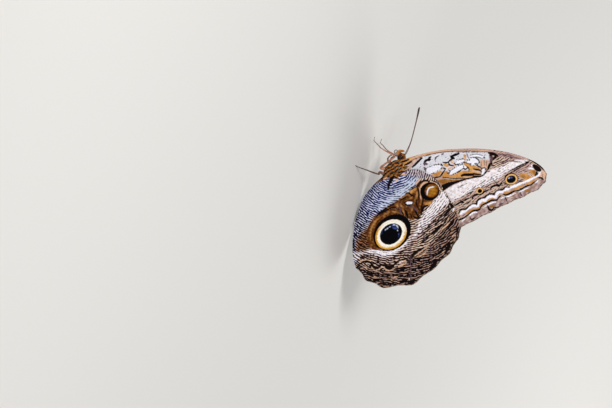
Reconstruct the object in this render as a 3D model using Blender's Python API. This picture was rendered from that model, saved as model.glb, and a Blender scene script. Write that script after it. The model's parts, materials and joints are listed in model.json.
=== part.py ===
"""A life-size owl butterfly at rest, its four wings closed upright over its back.

The head points to -X, the left side is toward -Y and the feet stand on the floor. Lengths are in
millimetres, and MM turns them to metres where a mesh is made. The body is laid out on the middle
plane as (x, z), and a place beside it is (x, out, z), where out is its distance from that plane.
A side of LEFT or RIGHT puts it on the insect's left or right.
"""

import math

import bmesh
import bpy
import numpy as np
from mathutils import Matrix, Vector
from mathutils.geometry import delaunay_2d_cdt

MM = 0.001
LEFT = -1
RIGHT = 1
SIDE_NAMES = {LEFT: "left", RIGHT: "right"}
GAP = 0.3

# Thorax: sections along its axis as (ahead, above the axis, half height, half width)
THORAX_CENTRE = (-2.1, 12.75)
THORAX_PITCH = math.radians(32)
THORAX_SECTIONS = (
    (-6.4, 0.7, 0.9, 0.9),
    (-5.4, 0.5, 2.4, 2.3),
    (-3.0, 0.2, 4.2, 3.8),
    (0.5, 0.1, 4.8, 4.3),
    (3.5, 0.2, 4.3, 3.9),
    (5.8, 0.4, 3.2, 3.0),
    (7.3, 0.5, 1.9, 1.9),
    (7.9, 0.5, 0.8, 0.8),
)

# Abdomen: it leaves the rear of the thorax and droops between the hindwings
ABDOMEN_ROOT = (1.6, 9.9)
ABDOMEN_PITCH = math.radians(14)
ABDOMEN_SECTIONS = (
    (0.0, 0.0, 1.6, 1.5),
    (-2.5, 0.0, 2.1, 2.0),
    (-8.0, 0.0, 2.6, 2.5),
    (-13.5, 0.0, 2.5, 2.4),
    (-18.5, 0.0, 1.9, 1.8),
    (-22.0, 0.0, 1.1, 1.1),
    (-23.2, 0.0, 0.5, 0.5),
)
ABDOMEN_RINGS = 8
ABDOMEN_GROOVE = 0.12

# Head with its eyes, palps, coiled tongue and antennae
HEAD_CENTRE = (-10.0, 14.5)
HEAD_RADII = (2.2, 1.9, 2.2)
EYE_PLACE = (-9.8, 1.75, 14.3)
EYE_RADII = (1.25, 1.0, 1.4)
PALP_PATH = ((-10.2, 1.2, 12.8), (-11.6, 1.2, 12.3), (-12.7, 1.15, 13.0), (-13.1, 1.05, 14.0), (-13.2, 1.0, 14.9))
PALP_RADII = (0.6, 0.7, 0.65, 0.5, 0.28)
TONGUE_ROOT = (-10.4, 12.9)
TONGUE_CENTRE = (-11.9, 11.1)
TONGUE_COIL = 1.15
TONGUE_PITCH = 0.72
TONGUE_TURNS = 1.25
TONGUE_RADIUS = 0.26
ANTENNA_PATHS = {
    LEFT: (
        (-10.8, 0.7, 15.3), (-12.6, 1.2, 16.3), (-18.4, 3.0, 17.7), (-24.7, 5.5, 18.3), (-31.2, 8.0, 18.8),
        (-35.6, 9.8, 19.0), (-36.6, 10.2, 19.0),
    ),
    RIGHT: (
        (-10.8, 0.7, 15.3), (-12.6, 1.2, 16.2), (-18.4, 2.6, 16.5), (-24.7, 4.6, 15.9), (-31.2, 6.6, 15.0),
        (-35.6, 7.8, 14.3), (-36.6, 8.1, 14.1),
    ),
}
ANTENNA_RADII = (0.32, 0.28, 0.26, 0.27, 0.4, 0.42, 0.2)

# Legs: (x, out, z) along each, with its radius there; the last two points lie flat on the floor
FOOT_HEIGHT = 0.15
FORELEG_PATH = ((-5.0, 1.4, 10.4), (-6.4, 2.5, 8.9), (-8.0, 2.9, 8.8), (-9.5, 3.1, 10.0), (-10.2, 3.1, 11.6))
FORELEG_RADII = (0.65, 0.6, 0.52, 0.42, 0.25)
MIDLEG_PATH = (
    (-1.9, 2.0, 8.0), (-2.0, 3.4, 6.6), (-5.6, 4.9, 9.6), (-9.2, 5.6, 12.5), (-10.1, 6.0, 9.6), (-11.4, 6.4, 4.8),
    (-12.8, 6.7, 2.4), (-14.2, 6.9, FOOT_HEIGHT), (-16.0, 7.2, FOOT_HEIGHT),
)
MIDLEG_RADII = (1.0, 0.85, 0.75, 0.6, 0.5, 0.4, 0.32, 0.3, 0.27)
HINDLEG_PATHS = {
    LEFT: (
        (0.6, 2.0, 8.4), (0.4, 4.0, 7.0), (1.0, 9.0, 7.8), (1.6, 13.4, 9.1), (1.6, 15.8, 7.4), (1.3, 20.6, 3.6),
        (1.1, 24.0, 1.2), (0.9, 26.4, FOOT_HEIGHT), (0.8, 28.4, FOOT_HEIGHT),
    ),
    RIGHT: (
        (0.6, 2.0, 8.4), (0.8, 4.0, 7.0), (5.2, 8.0, 8.0), (9.2, 11.4, 9.2), (10.6, 12.8, 7.0), (13.6, 15.4, 3.4),
        (15.6, 17.2, 1.2), (17.2, 18.6, FOOT_HEIGHT), (18.5, 19.8, FOOT_HEIGHT),
    ),
}
HINDLEG_RADII = (1.0, 0.85, 0.75, 0.6, 0.5, 0.42, 0.34, 0.3, 0.27)

# Wings: the membranes lie in upright sheets, the hindwings outside the forewings
MEMBRANE = 0.5
RIDGE_OUTER = 0.22
RIDGE_INNER = 0.1
RIDGE_HALF_WIDTH = 0.5
RIM_CLEARANCE = 0.6
SLOPE_STEP = 0.05
FOREWING_OUT = 0.62
WING_STEP = FOREWING_OUT + 0.5
HINGE_LINE = ((-8.5, 15.5), (2.5, 11.5))
HINGE_SPREAD = 2.5
HINGE_REACH = 5.5
VEIN_STEP = 2.8
MARGIN_STEP = 2.2
FILL_STEP = 4.8
SCALLOP_RUN = 8.0

FOREWING_HINGE = (-5.2, 14.6)
FOREWING_TUCK = (1.5, 2.2)
FOREWING_COSTA = (
    (-6.9, 14.2), (-9.3, 17.0), (-13.9, 23.8), (-18.7, 33.3), (-22.1, 43.1), (-24.9, 53.2), (-26.6, 63.6),
    (-26.9, 73.0), (-26.1, 81.0), (-24.2, 86.2), (-20.6, 90.2),
)
FOREWING_INNER = ((20.3, 50.8), (11.1, 35.6), (5.0, 27.0), (0.0, 20.3), (-2.0, 16.6), (-3.4, 14.2))
FOREWING_SCALLOP = 0.35
FOREWING_ENDS = {
    "R4": (-20.6, 90.2),
    "R5": (-17.2, 89.6),
    "M1": (-12.4, 86.7),
    "M2": (-7.0, 80.9),
    "M3": (-2.1, 74.7),
    "CuA1": (4.5, 67.4),
    "CuA2": (11.1, 60.1),
    "2A": (17.5, 53.3),
    "tornus": (20.3, 50.8),
}
FOREWING_VEINS = (
    ("Sc", None, ((-8.0, 16.9), (-15.0, 28.7), (-19.8, 40.9), (-22.6, 49.3), (-24.9, 55.6))),
    ("R", None, ((-7.4, 16.3), (-12.9, 26.3), (-17.9, 40.1), (-21.0, 55.5))),
    ("R1", "R", ((-19.2, 45.1), (-23.0, 53.8), (-26.4, 63.1))),
    ("R2", "R", ((-20.2, 50.8), (-24.1, 61.1), (-26.9, 72.8))),
    ("R3", "R", ((-21.0, 55.5), (-22.8, 64.7), (-23.8, 71.0), (-25.4, 81.9))),
    ("R4", "R3", ((-23.8, 71.0), (-23.3, 80.9), FOREWING_ENDS["R4"])),
    ("R5", "R3", ((-22.8, 64.7), (-21.0, 78.1), FOREWING_ENDS["R5"])),
    ("Cu", None, ((-5.6, 16.3), (-8.8, 27.5), (-10.9, 39.9), (-13.1, 53.5))),
    ("cell end", "R", ((-21.0, 55.5), (-18.4, 57.6), (-15.6, 56.0), (-13.1, 53.5))),
    ("M1", "cell end", ((-19.2, 57.2), (-17.6, 72.1), FOREWING_ENDS["M1"])),
    ("M2", "cell end", ((-16.0, 56.4), (-12.3, 69.5), FOREWING_ENDS["M2"])),
    ("M3", "Cu", ((-13.1, 53.5), (-7.7, 64.3), FOREWING_ENDS["M3"])),
    ("CuA1", "Cu", ((-11.7, 45.1), (-3.3, 56.9), FOREWING_ENDS["CuA1"])),
    ("CuA2", "Cu", ((-10.1, 34.7), (1.0, 47.3), FOREWING_ENDS["CuA2"])),
    ("2A", None, ((-4.3, 16.4), (-1.6, 22.0), (6.0, 35.0), FOREWING_ENDS["2A"])),
)

HINDWING_HINGE = (-0.2, 12.0)
HINDWING_TUCK = (2.4, 2.4)
HINDWING_COSTA = (
    (-2.4, 12.4), (-2.6, 16.6), (-4.6, 20.4), (-6.2, 24.8), (-5.9, 28.4), (-4.3, 33.6), (-1.0, 39.4),
    (4.9, 46.5), (10.6, 51.2), (16.5, 54.0),
)
HINDWING_INNER = (
    (50.1, 7.7), (45.5, 4.9), (40.2, 3.0), (34.8, 1.7), (29.2, 1.0), (23.5, 0.8), (17.1, 1.2), (11.6, 2.8),
    (7.2, 5.2), (3.6, 8.0), (1.4, 10.2),
)
HINDWING_SCALLOP = 0.45
HINDWING_ENDS = {
    "Rs": (16.5, 54.0),
    "M1": (21.4, 54.6),
    "M2": (30.4, 52.4),
    "M3": (39.8, 47.0),
    "CuA1": (50.6, 38.5),
    "CuA2": (56.3, 24.4),
    "2A": (55.1, 14.5),
    "3A": (50.1, 7.7),
}
HINDWING_VEINS = (
    ("Sc", None, ((-1.4, 13.6), (-2.6, 23.7), (-1.6, 33.9), (2.9, 41.5), (8.0, 49.2))),
    ("Rs", None, ((-0.6, 13.4), (2.2, 22.2), (7.2, 30.8), (11.8, 42.5), HINDWING_ENDS["Rs"])),
    ("Cu", None, ((0.6, 13.0), (8.9, 15.0), (12.8, 19.9), (14.7, 23.7))),
    ("cell end", "Rs", ((3.6, 24.8), (10.2, 29.5), (13.1, 27.6), (14.7, 23.7))),
    ("M1", "cell end", ((10.2, 29.5), (16.0, 42.7), HINDWING_ENDS["M1"])),
    ("M2", "cell end", ((13.1, 27.6), (21.8, 40.6), HINDWING_ENDS["M2"])),
    ("M3", "Cu", ((14.7, 23.7), (27.6, 36.8), HINDWING_ENDS["M3"])),
    ("CuA1", "Cu", ((12.8, 19.9), (29.3, 30.8), HINDWING_ENDS["CuA1"])),
    ("CuA2", "Cu", ((8.9, 15.0), (27.9, 13.5), (43.5, 17.6), HINDWING_ENDS["CuA2"])),
    ("2A", None, ((1.8, 11.8), (22.8, 7.4), (40.8, 8.4), HINDWING_ENDS["2A"])),
    ("3A", None, ((2.4, 10.6), (13.0, 4.9), (25.0, 3.2), (39.3, 4.6), HINDWING_ENDS["3A"])),
)

# Room that the hindwings leave round the abdomen, and how far they draw in behind the forewings
BULGE = 1.9
BULGE_BELOW = 5.4
BULGE_ABOVE = 7.5
BULGE_LENGTH = 20.2
BULGE_FADE = 7.0
BULGE_SHARE = 0.6
CLOSING = 0.85
CLOSING_START = 1.5
CLOSING_RUN = 10.0

COLOURS = {
    "thorax": (0.20, 0.11, 0.06),
    "abdomen": (0.24, 0.16, 0.10),
    "head": (0.30, 0.13, 0.05),
    "eye": (0.02, 0.012, 0.01),
    "palp": (0.45, 0.20, 0.08),
    "tongue": (0.10, 0.05, 0.03),
    "antenna": (0.16, 0.06, 0.04),
    "leg": (0.35, 0.17, 0.07),
    "forewing": (0.42, 0.34, 0.26),
    "hindwing": (0.36, 0.28, 0.21),
}


def material(kind):
    """A Principled material in the kind's colour, glossy on the eye and dull elsewhere."""
    name = f"{kind} surface"
    found = bpy.data.materials.get(name)
    if found:
        return found
    made = bpy.data.materials.new(name)
    made.use_nodes = True
    shader = made.node_tree.nodes["Principled BSDF"]
    shader.inputs["Base Color"].default_value = (*COLOURS[kind], 1.0)
    shader.inputs["Roughness"].default_value = 0.15 if kind == "eye" else 0.8
    shader.inputs["Metallic"].default_value = 0.0
    return made


def smooth_line(points, step):
    """Points about a step apart on the curve that passes evenly through the given ones."""
    given = np.array(points, dtype=float)
    ends = np.vstack([2 * given[0] - given[1], given, 2 * given[-1] - given[-2]])
    line = [given[0]]
    for before, start, stop, after in zip(ends[:-3], ends[1:-2], ends[2:-1], ends[3:]):
        count = max(1, round(float(np.linalg.norm(stop - start)) / step))
        for part in np.arange(1, count + 1) / count:
            bend = 2 * before - 5 * start + 4 * stop - after
            twist = 3 * start - before - 3 * stop + after
            line.append(0.5 * (2 * start + (stop - before) * part + bend * part**2 + twist * part**3))
    return np.array(line)


def new_object(name, kind, bm):
    """A smooth-shaded object of its own from a mesh whose faces are turned outward."""
    bmesh.ops.recalc_face_normals(bm, faces=bm.faces)
    mesh = bpy.data.meshes.new(name)
    bm.to_mesh(mesh)
    bm.free()
    mesh.materials.append(material(kind))
    mesh.shade_smooth()
    made = bpy.data.objects.new(name, mesh)
    insect.objects.link(made)
    return made


def lofted(name, kind, place, pitch, sections, sides, step, swell=0.0, groove=0.0):
    """A closed body of oval rings along a pitched axis, swelled by an even margin if asked.

    Each ring is an ellipse square to the axis. With a groove, the rings pinch in between the
    segments of the abdomen.
    """
    ahead = np.array((-math.cos(pitch), math.sin(pitch)))
    above = np.array((math.sin(pitch), math.cos(pitch)))
    rings = smooth_line(sections, step)
    turn = np.arange(sides) / sides * 2 * math.pi
    bm = bmesh.new()
    loops = []
    for along, rise, half_height, half_width in rings:
        share = (along - rings[0, 0]) / (rings[-1, 0] - rings[0, 0])
        pinch = groove * abs(math.cos(share * ABDOMEN_RINGS * math.pi)) ** 6
        stretch = swell * (2 * share - 1) * math.copysign(1.0, rings[-1, 0] - rings[0, 0])
        centre = np.array(place) + (along + stretch) * ahead
        loop = []
        for angle in turn:
            up = rise + (half_height + swell - pinch) * math.cos(angle)
            out = (half_width + swell - pinch) * math.sin(angle)
            x, z = centre + up * above
            loop.append(bm.verts.new((x * MM, out * MM, z * MM)))
        loops.append(loop)
    for loop, following in zip(loops, loops[1:]):
        for index in range(sides):
            after = (index + 1) % sides
            bm.faces.new((loop[index], loop[after], following[after], following[index]))
    bm.faces.new(loops[0])
    bm.faces.new(loops[-1])
    return new_object(name, kind, bm)


def ball(name, kind, place, radii, swell=0.0):
    """An egg-shaped body at a place, from a sphere scaled to its three radii."""
    bm = bmesh.new()
    scale = Matrix.Diagonal([(radius + swell) * MM for radius in radii]).to_4x4()
    move = Matrix.Translation(Vector(place) * MM)
    bmesh.ops.create_uvsphere(bm, u_segments=20, v_segments=12, radius=1.0, matrix=move @ scale)
    return new_object(name, kind, bm)


def tube(name, kind, path, radii, side, step):
    """A tapered round tube along a smooth path, made a closed mesh, its underside flat on the floor."""
    line = smooth_line([(*place, radius) for place, radius in zip(path, radii)], step)
    data = bpy.data.curves.new(name, "CURVE")
    data.dimensions = "3D"
    data.bevel_depth = MM
    data.bevel_resolution = 2
    data.use_fill_caps = True
    spline = data.splines.new("POLY")
    spline.points.add(len(line) - 1)
    for point, (x, out, z, radius) in zip(spline.points, line):
        point.co = (x * MM, side * out * MM, z * MM, 1.0)
        point.radius = radius
    curve = bpy.data.objects.new(name, data)
    insect.objects.link(curve)
    bpy.context.view_layer.update()
    evaluated = curve.evaluated_get(bpy.context.evaluated_depsgraph_get())
    mesh = bpy.data.meshes.new_from_object(evaluated)
    bpy.data.objects.remove(curve)
    bpy.data.curves.remove(data)
    bm = bmesh.new()
    bm.from_mesh(mesh)
    bpy.data.meshes.remove(mesh)
    bmesh.ops.remove_doubles(bm, verts=bm.verts, dist=1e-6)
    for vert in bm.verts:
        vert.co.z = max(vert.co.z, 0.0)
    return new_object(name, kind, bm)


def largest_body(mesh):
    """Keep only the closed surface with the most faces."""
    bm = bmesh.new()
    bm.from_mesh(mesh)
    unseen = set(bm.verts)
    bodies = []
    while unseen:
        body = set()
        front = [unseen.pop()]
        while front:
            vert = front.pop()
            body.add(vert)
            near = {edge.other_vert(vert) for edge in vert.link_edges} & unseen
            unseen -= near
            front.extend(near)
        bodies.append(body)
    bodies.sort(key=len)
    loose = [vert for body in bodies[:-1] for vert in body]
    bmesh.ops.delete(bm, geom=loose, context="VERTS")
    bm.to_mesh(mesh)
    bm.free()


def cut(made, cutters):
    """Take the cutters out of an object and keep the part that stays in one body."""
    for cutter in cutters:
        modifier = made.modifiers.new("Cut", "BOOLEAN")
        modifier.operation = "DIFFERENCE"
        modifier.object = cutter
    bpy.context.view_layer.update()
    evaluated = made.evaluated_get(bpy.context.evaluated_depsgraph_get())
    mesh = bpy.data.meshes.new_from_object(evaluated)
    largest_body(mesh)
    mesh.name = made.name
    made.modifiers.clear()
    old = made.data
    made.data = mesh
    bpy.data.meshes.remove(old)
    return made


def segment_distance(places, start, stop):
    """Distance of each place from a straight segment."""
    run = np.subtract(stop, start)
    share = np.clip((places - start) @ run / (run @ run), 0.0, 1.0)
    return np.linalg.norm(places - start - share[:, None] * run, axis=1)


def line_distance(places, line):
    """Distance of each place from the nearest stretch of a line."""
    return np.min([segment_distance(places, *ends) for ends in zip(line, line[1:])], axis=0)


def hill(distance, reach):
    """1 on the spot, falling smoothly to nothing past the reach."""
    return np.exp(-((distance / reach) ** 2))


def forewing_out(places):
    """Distance of the forewing's middle sheet from the middle plane: close above, spread at the hinge."""
    tuck, reach = FOREWING_TUCK
    spread = HINGE_SPREAD * hill(segment_distance(places, *map(np.array, HINGE_LINE)), HINGE_REACH)
    return FOREWING_OUT + spread - tuck * hill(np.linalg.norm(places - FOREWING_HINGE, axis=1), reach)


def hindwing_out(places):
    """The hindwing's middle sheet: a step outside the forewing, bulging round the abdomen and drawn in below."""
    tuck, tuck_reach = HINDWING_TUCK
    spread = HINGE_SPREAD * hill(segment_distance(places, *map(np.array, HINGE_LINE)), HINGE_REACH)
    ahead = np.array((math.cos(ABDOMEN_PITCH), -math.sin(ABDOMEN_PITCH)))
    above = np.array((math.sin(ABDOMEN_PITCH), math.cos(ABDOMEN_PITCH)))
    along = (places - ABDOMEN_ROOT) @ ahead
    rise = (places - ABDOMEN_ROOT) @ above
    past_end = np.maximum(0.0, along - BULGE_LENGTH)
    reach = np.where(rise < 0, BULGE_BELOW, BULGE_ABOVE)
    round_body = np.cos(np.clip(rise / reach, -1.0, 1.0) * math.pi / 2) ** 2 * hill(past_end, BULGE_FADE)
    edge = np.subtract(FOREWING_INNER[0], FOREWING_INNER[-1])
    behind = (places - FOREWING_INNER[-1]) @ (edge[1], -edge[0]) / np.linalg.norm(edge)
    share = np.clip((behind - CLOSING_START) / CLOSING_RUN, 0.0, 1.0)
    drawn_in = CLOSING * share**2 * (3 - 2 * share)
    sheet = FOREWING_OUT + WING_STEP - drawn_in + (BULGE + drawn_in) * round_body
    sheet -= tuck * hill(np.linalg.norm(places - HINDWING_HINGE, axis=1), tuck_reach)
    return sheet + spread * (1 - BULGE_SHARE * round_body)


def scalloped(ends, depth):
    """The outer margin: a soft wave through the vein ends, drawn in a little halfway between them."""
    ends = np.array(ends)
    middle = ends.mean(axis=0)
    points = [ends[0]]
    for start, stop in zip(ends, ends[1:]):
        run = stop - start
        length = np.linalg.norm(run)
        inward = np.array((-run[1], run[0])) / length
        if inward @ (middle - start) < 0:
            inward = -inward
        dip = depth * min(1.0, length / SCALLOP_RUN) ** 2
        points.append((start + stop) / 2 + inward * dip)
        points.append(stop)
    return smooth_line(points, MARGIN_STEP)


def inside(places, outline):
    """Whether each place lies within the outline, by counting the edges to its right."""
    within = np.zeros(len(places), dtype=bool)
    for start, stop in zip(outline, np.roll(outline, -1, axis=0)):
        spans = (start[1] > places[:, 1]) != (stop[1] > places[:, 1])
        with np.errstate(divide="ignore", invalid="ignore"):
            crossing = start[0] + (places[:, 1] - start[1]) * (stop[0] - start[0]) / (stop[1] - start[1])
        within ^= spans & (places[:, 0] < crossing)
    return within


def wing_plan(costa, ends, scallop, inner, veins):
    """Lay out a wing flat: its margin, its vein lines with a foot line on each side, and fill between."""
    front = smooth_line(costa, MARGIN_STEP)
    outer = scalloped(list(ends.values()), scallop)
    rear = smooth_line(inner, MARGIN_STEP)
    outline = np.vstack([front[:-1], outer[:-1], rear])
    rim = np.vstack([outline, outline[:1]])
    lines = {}
    for name, host, path in veins:
        line = smooth_line(path, VEIN_STEP)
        if host:
            line[0] = lines[host][np.argmin(np.linalg.norm(lines[host] - line[0], axis=1))]
        if np.linalg.norm(outline - line[-1], axis=1).min() > 1e-6 and name not in ("R", "Cu", "cell end"):
            line[-1] = outline[np.argmin(np.linalg.norm(outline - line[-1], axis=1))]
        lines[name] = line
    if "cell end" in lines:
        lines["cell end"][-1] = lines["Cu"][-1]
    points = [tuple(place) for place in outline]
    edges = [(index, (index + 1) % len(outline)) for index in range(len(outline))]
    for name, line in lines.items():
        first = len(points)
        points.extend(tuple(place) for place in line)
        edges.extend((first + index, first + index + 1) for index in range(len(line) - 1))
    for name, line in lines.items():
        others = [other for key, other in lines.items() if key != name]
        ahead = np.gradient(line, axis=0)
        ahead /= np.linalg.norm(ahead, axis=1)[:, None]
        beside = np.stack([-ahead[:, 1], ahead[:, 0]], axis=1) * RIDGE_HALF_WIDTH
        for foot in (line + beside, line - beside):
            clear = inside(foot, outline) & (line_distance(foot, rim) > RIM_CLEARANCE)
            clear &= np.min([line_distance(foot, other) for other in others], axis=0) > RIDGE_HALF_WIDTH
            for index in np.flatnonzero(clear):
                if index + 1 < len(foot) and clear[index + 1]:
                    edges.append((len(points), len(points) + 1))
                points.append(tuple(foot[index]))
    taken = np.array(points)
    low = outline.min(axis=0)
    high = outline.max(axis=0)
    across = np.arange(low[0], high[0], FILL_STEP)
    rows = np.arange(low[1], high[1], FILL_STEP * math.sqrt(3) / 2)
    fill = np.array([(x + (row % 2) * FILL_STEP / 2, z) for row, z in enumerate(rows) for x in across])
    far = [np.linalg.norm(taken - place, axis=1).min() > FILL_STEP / 2 for place in fill]
    points.extend(tuple(place) for place in fill[inside(fill, outline) & np.array(far)])
    flat, _, faces, _, _, _ = delaunay_2d_cdt([Vector(place) for place in points], edges, [], 1, 1e-4)
    return np.array([tuple(place) for place in flat]), faces, list(lines.values())


def wing(kind, side, plan, out_of):
    """A wing whose veins are ridges in both faces of one thin sheet, split alike on its two faces."""
    places, faces, veins = plan
    out = out_of(places)
    lean_x = (out_of(places + (SLOPE_STEP, 0)) - out) / SLOPE_STEP
    lean_z = (out_of(places + (0, SLOPE_STEP)) - out) / SLOPE_STEP
    normal = np.stack([-lean_x, np.ones(len(out)), -lean_z], axis=1)
    normal /= np.linalg.norm(normal, axis=1)[:, None]
    near = np.min([line_distance(places, vein) for vein in veins], axis=0)
    ridge = np.clip(1 - near / RIDGE_HALF_WIDTH, 0.0, 1.0)
    sheet = np.stack([places[:, 0], out, places[:, 1]], axis=1)
    outer = sheet + normal * (MEMBRANE / 2 + RIDGE_OUTER * ridge)[:, None]
    inner = sheet - normal * (MEMBRANE / 2 + RIDGE_INNER * ridge)[:, None]
    bm = bmesh.new()
    outer_verts = [bm.verts.new(place * (MM, side * MM, MM)) for place in outer]
    inner_verts = [bm.verts.new(place * (MM, side * MM, MM)) for place in inner]
    rim = {}
    for face in faces:
        bm.faces.new([outer_verts[index] for index in face])
        bm.faces.new([inner_verts[index] for index in reversed(face)])
        for start, stop in zip(face, face[1:] + face[:1]):
            if not rim.pop((stop, start), None):
                rim[start, stop] = True
    for start, stop in rim:
        bm.faces.new((outer_verts[start], inner_verts[start], inner_verts[stop], outer_verts[stop]))
    loose = [vert for vert in bm.verts if not vert.link_faces]
    bmesh.ops.delete(bm, geom=loose, context="VERTS")
    bmesh.ops.triangulate(bm, faces=bm.faces)
    return new_object(f"{kind}_{SIDE_NAMES[side]}", kind, bm)


def tongue():
    """The tongue, a tapered tube wound in a flat spiral under the head."""
    path = [(TONGUE_ROOT[0], 0.0, TONGUE_ROOT[1])]
    for turn in np.linspace(0.0, TONGUE_TURNS, 20):
        radius = TONGUE_COIL - TONGUE_PITCH * turn
        angle = 2 * math.pi * turn
        path.append((TONGUE_CENTRE[0] + radius * math.cos(angle), 0.0, TONGUE_CENTRE[1] - radius * math.sin(angle)))
    radii = np.linspace(TONGUE_RADIUS, TONGUE_RADIUS * 0.8, len(path))
    return tube("proboscis", "tongue", path, radii, RIGHT, 0.6)


def build():
    """Make the body, then what grows from it, each cut back to meet its host across the gap."""
    thorax_room = lofted("thorax room", "thorax", THORAX_CENTRE, THORAX_PITCH, THORAX_SECTIONS, 20, 1.4, GAP)
    head_place = (HEAD_CENTRE[0], 0.0, HEAD_CENTRE[1])
    head_room = ball("head room", "head", head_place, HEAD_RADII, GAP)
    rooms = [thorax_room, head_room]
    lofted("thorax", "thorax", THORAX_CENTRE, THORAX_PITCH, THORAX_SECTIONS, 20, 1.4)
    abdomen = lofted("abdomen", "abdomen", ABDOMEN_ROOT, ABDOMEN_PITCH, ABDOMEN_SECTIONS, 16, 0.9, groove=ABDOMEN_GROOVE)
    cut(abdomen, [thorax_room])
    head = ball("head", "head", head_place, HEAD_RADII)
    eye_rooms = []
    for side in (LEFT, RIGHT):
        x, out, z = EYE_PLACE
        place = (x, side * out, z)
        ball(f"eye_{SIDE_NAMES[side]}", "eye", place, EYE_RADII)
        eye_rooms.append(ball(f"eye room {SIDE_NAMES[side]}", "eye", place, EYE_RADII, GAP))
    cut(head, [thorax_room, *eye_rooms])
    cut(tongue(), [head_room])
    forewing_plan = wing_plan(FOREWING_COSTA, FOREWING_ENDS, FOREWING_SCALLOP, FOREWING_INNER, FOREWING_VEINS)
    hindwing_plan = wing_plan(HINDWING_COSTA, HINDWING_ENDS, HINDWING_SCALLOP, HINDWING_INNER, HINDWING_VEINS)
    for side in (LEFT, RIGHT):
        name = SIDE_NAMES[side]
        cut(tube(f"palp_{name}", "palp", PALP_PATH, PALP_RADII, side, 0.7), [head_room])
        cut(tube(f"antenna_{name}", "antenna", ANTENNA_PATHS[side], ANTENNA_RADII, side, 1.6), [head_room])
        cut(tube(f"foreleg_{name}", "leg", FORELEG_PATH, FORELEG_RADII, side, 0.8), [thorax_room])
        cut(tube(f"midleg_{name}", "leg", MIDLEG_PATH, MIDLEG_RADII, side, 1.2), [thorax_room])
        cut(tube(f"hindleg_{name}", "leg", HINDLEG_PATHS[side], HINDLEG_RADII, side, 1.2), [thorax_room])
        cut(wing("forewing", side, forewing_plan, forewing_out), [thorax_room])
        cut(wing("hindwing", side, hindwing_plan, hindwing_out), [thorax_room])
    for room in rooms + eye_rooms:
        bpy.data.objects.remove(room)


def stand_at_origin():
    """Hang every piece from one empty so that the middle of the insect's footprint is the origin."""
    bpy.context.view_layer.update()
    corners = np.array([made.matrix_world @ vert.co for made in insect.objects for vert in made.data.vertices])
    low = corners.min(axis=0)
    high = corners.max(axis=0)
    anchor = bpy.data.objects.new("owl butterfly", None)
    insect.objects.link(anchor)
    for made in insect.objects:
        if made is not anchor:
            made.parent = anchor
    anchor.location = (-(low[0] + high[0]) / 2, -(low[1] + high[1]) / 2, -low[2])


for leftover in list(bpy.data.objects):
    bpy.data.objects.remove(leftover)
insect = bpy.data.collections.new("Owl butterfly")
bpy.context.scene.collection.children.link(insect)
build()
stand_at_origin()
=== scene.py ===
"""The visible owl butterfly: patterned wings, furred body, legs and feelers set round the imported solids.

Lengths are in millimetres, and `to_frame` turns them to metres in the frame where a mesh is made. The
head points to -X, the left side is toward -Y and +Z is up. The body is laid out on the middle plane as
(x, z), and a place beside it is (x, out, z), where out is its distance from that plane on either side.
The marks on the wings are given in the photograph's pixels, x to the right and y down, and `on_wing`
follows the camera's line of sight from a pixel to the left wing's sheet. The right wings mirror them.
"""

import json
import math

import bpy
import numpy as np
from mathutils import Matrix, Vector

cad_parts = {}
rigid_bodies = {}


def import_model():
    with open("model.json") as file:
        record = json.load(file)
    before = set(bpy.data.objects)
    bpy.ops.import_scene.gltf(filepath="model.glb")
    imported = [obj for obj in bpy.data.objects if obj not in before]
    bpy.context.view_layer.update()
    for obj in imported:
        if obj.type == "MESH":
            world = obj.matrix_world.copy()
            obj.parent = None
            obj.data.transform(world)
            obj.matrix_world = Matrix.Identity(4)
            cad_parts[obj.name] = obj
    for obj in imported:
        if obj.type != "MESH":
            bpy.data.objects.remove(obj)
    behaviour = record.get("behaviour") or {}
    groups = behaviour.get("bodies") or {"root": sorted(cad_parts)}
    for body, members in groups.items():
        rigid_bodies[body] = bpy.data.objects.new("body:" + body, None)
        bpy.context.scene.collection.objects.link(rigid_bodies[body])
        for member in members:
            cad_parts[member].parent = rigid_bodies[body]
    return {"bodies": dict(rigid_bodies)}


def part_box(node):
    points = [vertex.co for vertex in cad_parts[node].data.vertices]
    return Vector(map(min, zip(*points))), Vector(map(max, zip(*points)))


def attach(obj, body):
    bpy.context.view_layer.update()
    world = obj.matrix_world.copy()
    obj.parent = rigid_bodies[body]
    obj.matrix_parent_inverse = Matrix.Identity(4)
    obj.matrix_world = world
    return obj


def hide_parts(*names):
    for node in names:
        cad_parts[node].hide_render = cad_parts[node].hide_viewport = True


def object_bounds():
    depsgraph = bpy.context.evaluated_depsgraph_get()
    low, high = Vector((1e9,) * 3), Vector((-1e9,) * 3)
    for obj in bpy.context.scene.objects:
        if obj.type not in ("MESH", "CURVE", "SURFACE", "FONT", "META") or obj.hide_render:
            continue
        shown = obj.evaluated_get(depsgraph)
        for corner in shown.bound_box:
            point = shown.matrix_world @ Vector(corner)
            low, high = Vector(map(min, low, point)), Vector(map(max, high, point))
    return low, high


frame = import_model()
CAD_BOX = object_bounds()
BODY = next(iter(frame["bodies"]))

MM = 0.001
LEFT = -1
RIGHT = 1
SIDE_NAMES = {LEFT: "left", RIGHT: "right"}
draw = np.random.default_rng(7)

# The middle of the left eye ties the maker's millimetres to the frame
EYE_PLACE = (-9.8, 1.75, 14.3)
EYE_RADII = (1.25, 1.0, 1.4)
EYE_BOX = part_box("eye_left")
SHIFT = np.mean([EYE_BOX[0], EYE_BOX[1]], axis=0) - np.multiply(EYE_PLACE, (MM, LEFT * MM, MM))

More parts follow.
